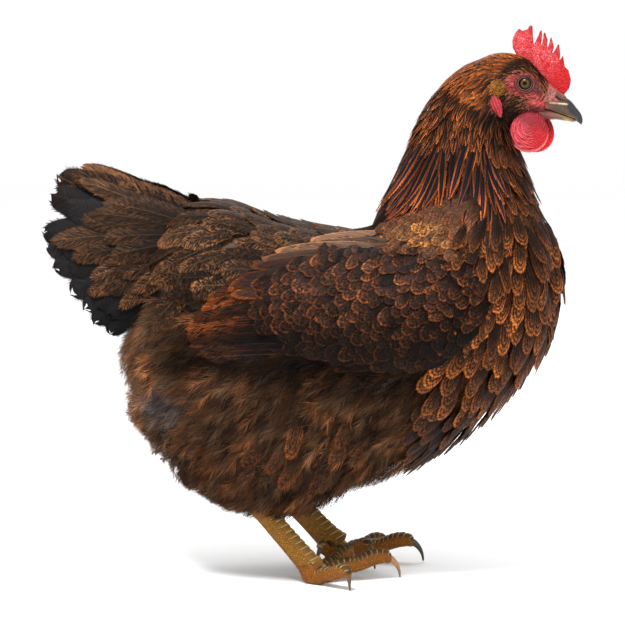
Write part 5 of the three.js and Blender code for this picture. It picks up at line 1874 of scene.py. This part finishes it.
def back_look(x, y, z):
    c = colours()
    pattern = stacked(mix(0.7, 0.25, ease(30, -20, x)), zeros(len(x)), np.full(len(x), 0.8))
    mark = blend(c.chestnut * 0.7, c.pepper, ease(70, 20, x))
    # Painted shadow: the back feathers darken near the wing's rear edge.
    wing_shadow = (ease(14, 2, outline_distance(WING_OUTLINE, x, z)) * ease(-30, -50, x))[:, None]
    return c.saddle * (1 - 0.6 * wing_shadow), mark * (1 - 0.75 * wing_shadow), pattern


class HEN_OT_body_coat(bpy.types.Operator):
    """Lay the breast, the flanks, the back and the saddle"""

    bl_idname = "hen.body_coat"
    bl_label = "Body Feathers"

    def execute(self, context):
        c, sizes = colours(), coat_sizes()
        paint = feather_paint("body_feathers", 0.6, 0.08)
        grow(
            "breast_feathers", paint, 21, breast_where, 8, sizes.breast_length / MM, 10.5, breast_lift,
            breast_look, 0.25, 9, 7, 0.24, 18, 1.8,
        )
        grow(
            "flank_feathers", paint, 23, flank_where, 7.6, 28, 7.6, (5.2, 9.4),
            (c.dark, c.chestnut * 0.8, (0.9, 0.5, 0.3)), 0.3, 7, 5, 0.3, 14, 1.6,
        )
        draw, length = default_rng(24), sizes.back_length / MM
        grow(
            "back_feathers", feather_paint("back_feathers", 0.6, 0.05, (-0.5, 0.5)), 22, back_where, 10.5,
            lambda x, y, z: length * mix(0.85, 1.2, ease(0, -90, x)), lambda x, y, z: draw.uniform(10, 21, len(x)),
            back_lift, back_look, 0.25, 13, 7, 0.2, 34, 3,
        )
        return {"FINISHED"}


DOWN_BARBS = 42
DOWN_ZONES = {
    "down_plumes": lambda x, y: x < -72,
    "thigh_plumes_right": lambda x, y: (x > -72) & (y < 0),
    "thigh_plumes_left": lambda x, y: (x > -72) & (y > 0),
}


def down_where(x, y, z):
    edge = interp(z, [80, 120, 160, 200, 240, 262], [92, 100, 106, 110, 100, 84])
    under_wing = (outline_distance(WING_OUTLINE, x, z) < -10) & (np.abs(y) > 40)
    low = z < interp(x, [-140, -100, -60, -20, 20, 60, 90, 120], [214, 204, 196, 186, 176, 172, 180, 200])
    return low & (x < edge) & ~under_wing


def down_swell(x, z):
    """How much higher the down stands than elsewhere: more at the vent and the crop, less under the keel."""
    rump = ease(-96, -118, x)
    rear = ease(-60, -100, x) * ease(70, 84, z) * ease(140, 128, z)
    vent = rump * ease(160, 168, z)
    tuck = rump * ease(134, 140, z) * ease(166, 158, z)
    keel = ease(96, 84, z) * ease(0, -20, x)
    crop = ease(36, 60, x) * ease(104, 90, z)
    return 4 * rear + 3 * vent - 3 * tuck - 2.5 * keel + 2.5 * crop


def barb_plumes(line, across, up, length, width, draw):
    """Loose downy feathers: a fan of fine slivers along each middle line."""
    count, rows = line.shape[:2]
    at = draw.uniform(0.05, 0.85, (count, DOWN_BARBS))
    place = at * (rows - 1)
    i = clip(place.astype(int), 0, rows - 2)
    owner = arange(count)[:, None]
    here, ahead, raised = line[owner, i], line[owner, i + 1], up[owner, i]
    root = mix(here, ahead, (place - i)[..., None])
    onward = unit(ahead - here)
    side = across[owner, i] * np.where(arange(DOWN_BARBS) % 2, 1, -1)[:, None]
    spread = draw.uniform(0.05, 0.6, (count, DOWN_BARBS, 1))
    curl = draw.normal(0, 0.2, (count, DOWN_BARBS, 3))
    way = unit(onward + side * spread + raised * draw.uniform(-0.1, 0.3, (count, DOWN_BARBS, 1)) + curl)
    reach = (length[:, None] * mix(0.5, 0.3, at) * draw.uniform(0.7, 1.2, (count, DOWN_BARBS)))[..., None]
    wide = width * unit(cross(way, raised))
    middle = root + way * reach * 0.5
    tip = root + (way + (onward - raised * 0.25) * 0.22) * reach
    return np.stack([root - wide, root + wide, middle + wide * 0.8, middle - wide * 0.8, tip], axis=2), at


class HEN_OT_down(bpy.types.Operator):
    """Lay the soft feathers of the belly, the thighs and the vent"""

    bl_idname = "hen.down"
    bl_label = "Down"

    def plumes(self, name, zone, paint, draw):
        c = colours()
        roots = spread_roots(lambda x, y, z: down_where(x, y, z) & zone(x, y), 4.3, draw)
        count = len(roots)
        length = coat_sizes().down_length / MM * draw.uniform(0.8, 1.15, count)
        x, _, z = roots.T
        swell = down_swell(x, z)
        lock = rough_noise(roots * [1, 1, 1.6], 11, 3)
        height = (6.2 + swell + 2 * lock) * draw.uniform(0.8, 1.25, count)
        length *= 1 + 0.35 * ease(-92, -118, x)
        lines = lay_lines(roots, length, SHORT_STEPS, (0.3 + 0.4 * swell, height), draw, 13)
        points, at = barb_plumes(*lines, length, 0.16, draw)
        total = at.size
        base = arange(total) * 5
        patch = ease(19, 5, hypot((x + 84) / 1.3, z - 134))
        cloud = rough_noise(roots, 15)
        ground = blend(c.down_root, rgb(26, 25, 27), patch)
        mark = blend(c.down_tip, c.chestnut, 0.22 * ease(0, 0.5, cloud))
        mark = blend(mark, rgb(74, 70, 70), 0.8 * patch) * (1 + 0.4 * cloud)[:, None]
        # Painted shade: the down darkens under the wing's lower edge, towards the bottom, and in the furrows between
        # its locks, where the plumes stand lower; it is brighter at the rear.
        shadow = ease(9, -1, outline_distance(WING_OUTLINE, x, z)) * ease(190, 176, z)
        shade = mix(mix(0.8, 1, ease(80, 120, z)), 2.3, ease(-84, -112, x))
        shade = (1 - 0.8 * shadow) * shade * (1 + 0.8 * lock)
        shade = clip(1 + draw.normal(0, 0.42, (count, 1)), 0.25, 2) * shade[:, None]
        owner = np.repeat(arange(count), DOWN_BARBS * 5)
        luck = np.repeat(draw.uniform(0, 1, total), 5)
        up = mix(at, 1, 0.4)
        v = np.stack([at, at, up, up, np.ones_like(at)], axis=2).reshape(-1)
        vane = stacked(np.tile([0.45, 0.55, 0.53, 0.47, 0.5], total), v)
        quill = stacked(luck, np.full(len(luck), 0.24), np.full(len(luck), 0.1))
        piece = array_piece(
            name, points.reshape(-1, 3), stacked(base, base + 1, base + 2, base + 3),
            stacked(base + 3, base + 2, base + 4),
            {"ground": (ground * shade)[owner], "mark": (mark * shade)[owner], "quill": quill},
            {"OFBake": unwrap(roots)[owner] + BAKE_PATCH * (vane - 0.5), "vane": vane},
        )
        finish_piece(piece, paint, "fluff")

    def execute(self, context):
        c, paint, draw = colours(), down_paint(), default_rng(41)
        for name, zone in DOWN_ZONES.items():
            self.plumes(name, zone, paint, draw)
        grow(
            "thigh_feathers", feather_paint("thigh_feathers", 0.6, 0.06, (0.1, 0.6)), 42,
            lambda x, y, z: (hypot((x - 22) / 44, (z - 104) / 20) < 1) & (np.abs(y) > 50), 12.5, 30,
            lambda x, y, z: draw.uniform(7, 12, len(x)), (3, 9.5),
            (c.down_root * 1.3, c.chestnut * 0.55, (0.7, 0.5, 0.6)), 0.3, 14, 7, 0.24, 26, 3.2,
        )
        return {"FINISHED"}


# ---------- the stage ----------
SENSOR = 36  # the width of the camera's sensor, in millimetres
FLOOR_WIDTH, FLOOR_DROP = 30, 0.0005  # in metres, the drop below the soles
LIGHTS_AIM = (0, 0, 0.2)
# A lamp's name, place and width in metres, and power in watts.
LIGHTS = (
    ("key_light", (-0.35, -1.2, 2.4), 0.9, 75),
    ("fill_light", (1.7, -1.2, 0.9), 1.4, 4),
    ("rim_light", (-0.3, 1.7, 1.9), 1.2, 20),
)


class HEN_OT_stage(bpy.types.Operator):
    """Set the camera, the pale floor and the soft light"""

    bl_idname = "hen.stage"
    bl_label = "Stage"

    def place(self, name, data, location, way):
        """Adds a lamp or a camera that looks along a way."""
        thing = linked(name, data)
        thing.location = location
        thing.rotation_euler = way.to_track_quat("-Z", "Y").to_euler()
        return thing

    def execute(self, context):
        settings = context.scene.hen_stage
        az, el = settings.azimuth, settings.elevation
        way = Vector((sin(az) * cos(el), -cos(az) * cos(el), sin(el)))
        lens = bpy.data.cameras.new("camera")
        lens.sensor_width = SENSOR
        lens.lens = SENSOR * settings.distance / settings.view_width
        aim = Vector((SHIFT[0] * MM, 0, settings.aim_height))
        context.scene.camera = self.place("camera", lens, aim + way * settings.distance, -way)
        bpy.ops.object.select_all(action="DESELECT")
        bpy.ops.mesh.primitive_plane_add(size=FLOOR_WIDTH, location=(0, 0, -FLOOR_DROP))
        floor = bpy.context.object
        floor.name = "studio_floor"
        paint = Paint("studio_floor", 0.9, 0.1)
        paint.set("Base Color", (*settings.floor_colour, 1))
        floor.data.materials.append(paint.material)
        for name, place, size, power in LIGHTS:
            light = bpy.data.lights.new(name, "AREA")
            light.shape = "DISK"
            light.size, light.energy = size, power
            self.place(name, light, place, Vector(LIGHTS_AIM) - Vector(place))
        world = bpy.data.worlds.new("studio")
        world.use_nodes = True
        background = world.node_tree.nodes["Background"].inputs
        background["Color"].default_value = (1, 1, 1, 1)
        background["Strength"].default_value = 1
        context.scene.world = world
        context.scene.view_settings.view_transform = "Standard"
        return {"FINISHED"}


OPERATORS = (
    HEN_OT_skin, HEN_OT_eyes, HEN_OT_beak, HEN_OT_comb, HEN_OT_legs, HEN_OT_wings, HEN_OT_tail, HEN_OT_head_coat,
    HEN_OT_hackle, HEN_OT_body_coat, HEN_OT_down, HEN_OT_stage,
)


class HEN_PT_panel(bpy.types.Panel):
    """Buttons that model each piece, with the sizes and the colours"""

    bl_idname = "HEN_PT_panel"
    bl_label = "Hen"
    bl_space_type = "VIEW_3D"
    bl_region_type = "UI"
    bl_category = "Hen"

    def draw(self, context):
        for operator in OPERATORS:
            self.layout.operator(operator.bl_idname)
        for settings in (context.scene.hen_coat, context.scene.hen_stage, context.scene.hen_colours):
            box = self.layout.box()
            for name in settings.__annotations__:
                box.prop(settings, name)


SETTINGS = {"hen_colours": HenColours, "hen_coat": HenCoatSettings, "hen_stage": HenStageSettings}
CLASSES = (*SETTINGS.values(), *OPERATORS, HEN_PT_panel)


def register():
    for kind in CLASSES:
        bpy.utils.register_class(kind)
    for name, kind in SETTINGS.items():
        setattr(bpy.types.Scene, name, bpy.props.PointerProperty(type=kind))


def unregister():
    for name in SETTINGS:
        delattr(bpy.types.Scene, name)
    for kind in reversed(CLASSES):
        bpy.utils.unregister_class(kind)


def main():
    register()
    for operator in OPERATORS:
        group, name = operator.bl_idname.split(".")
        getattr(getattr(bpy.ops, group), name)()


if __name__ == "__main__":
    main()
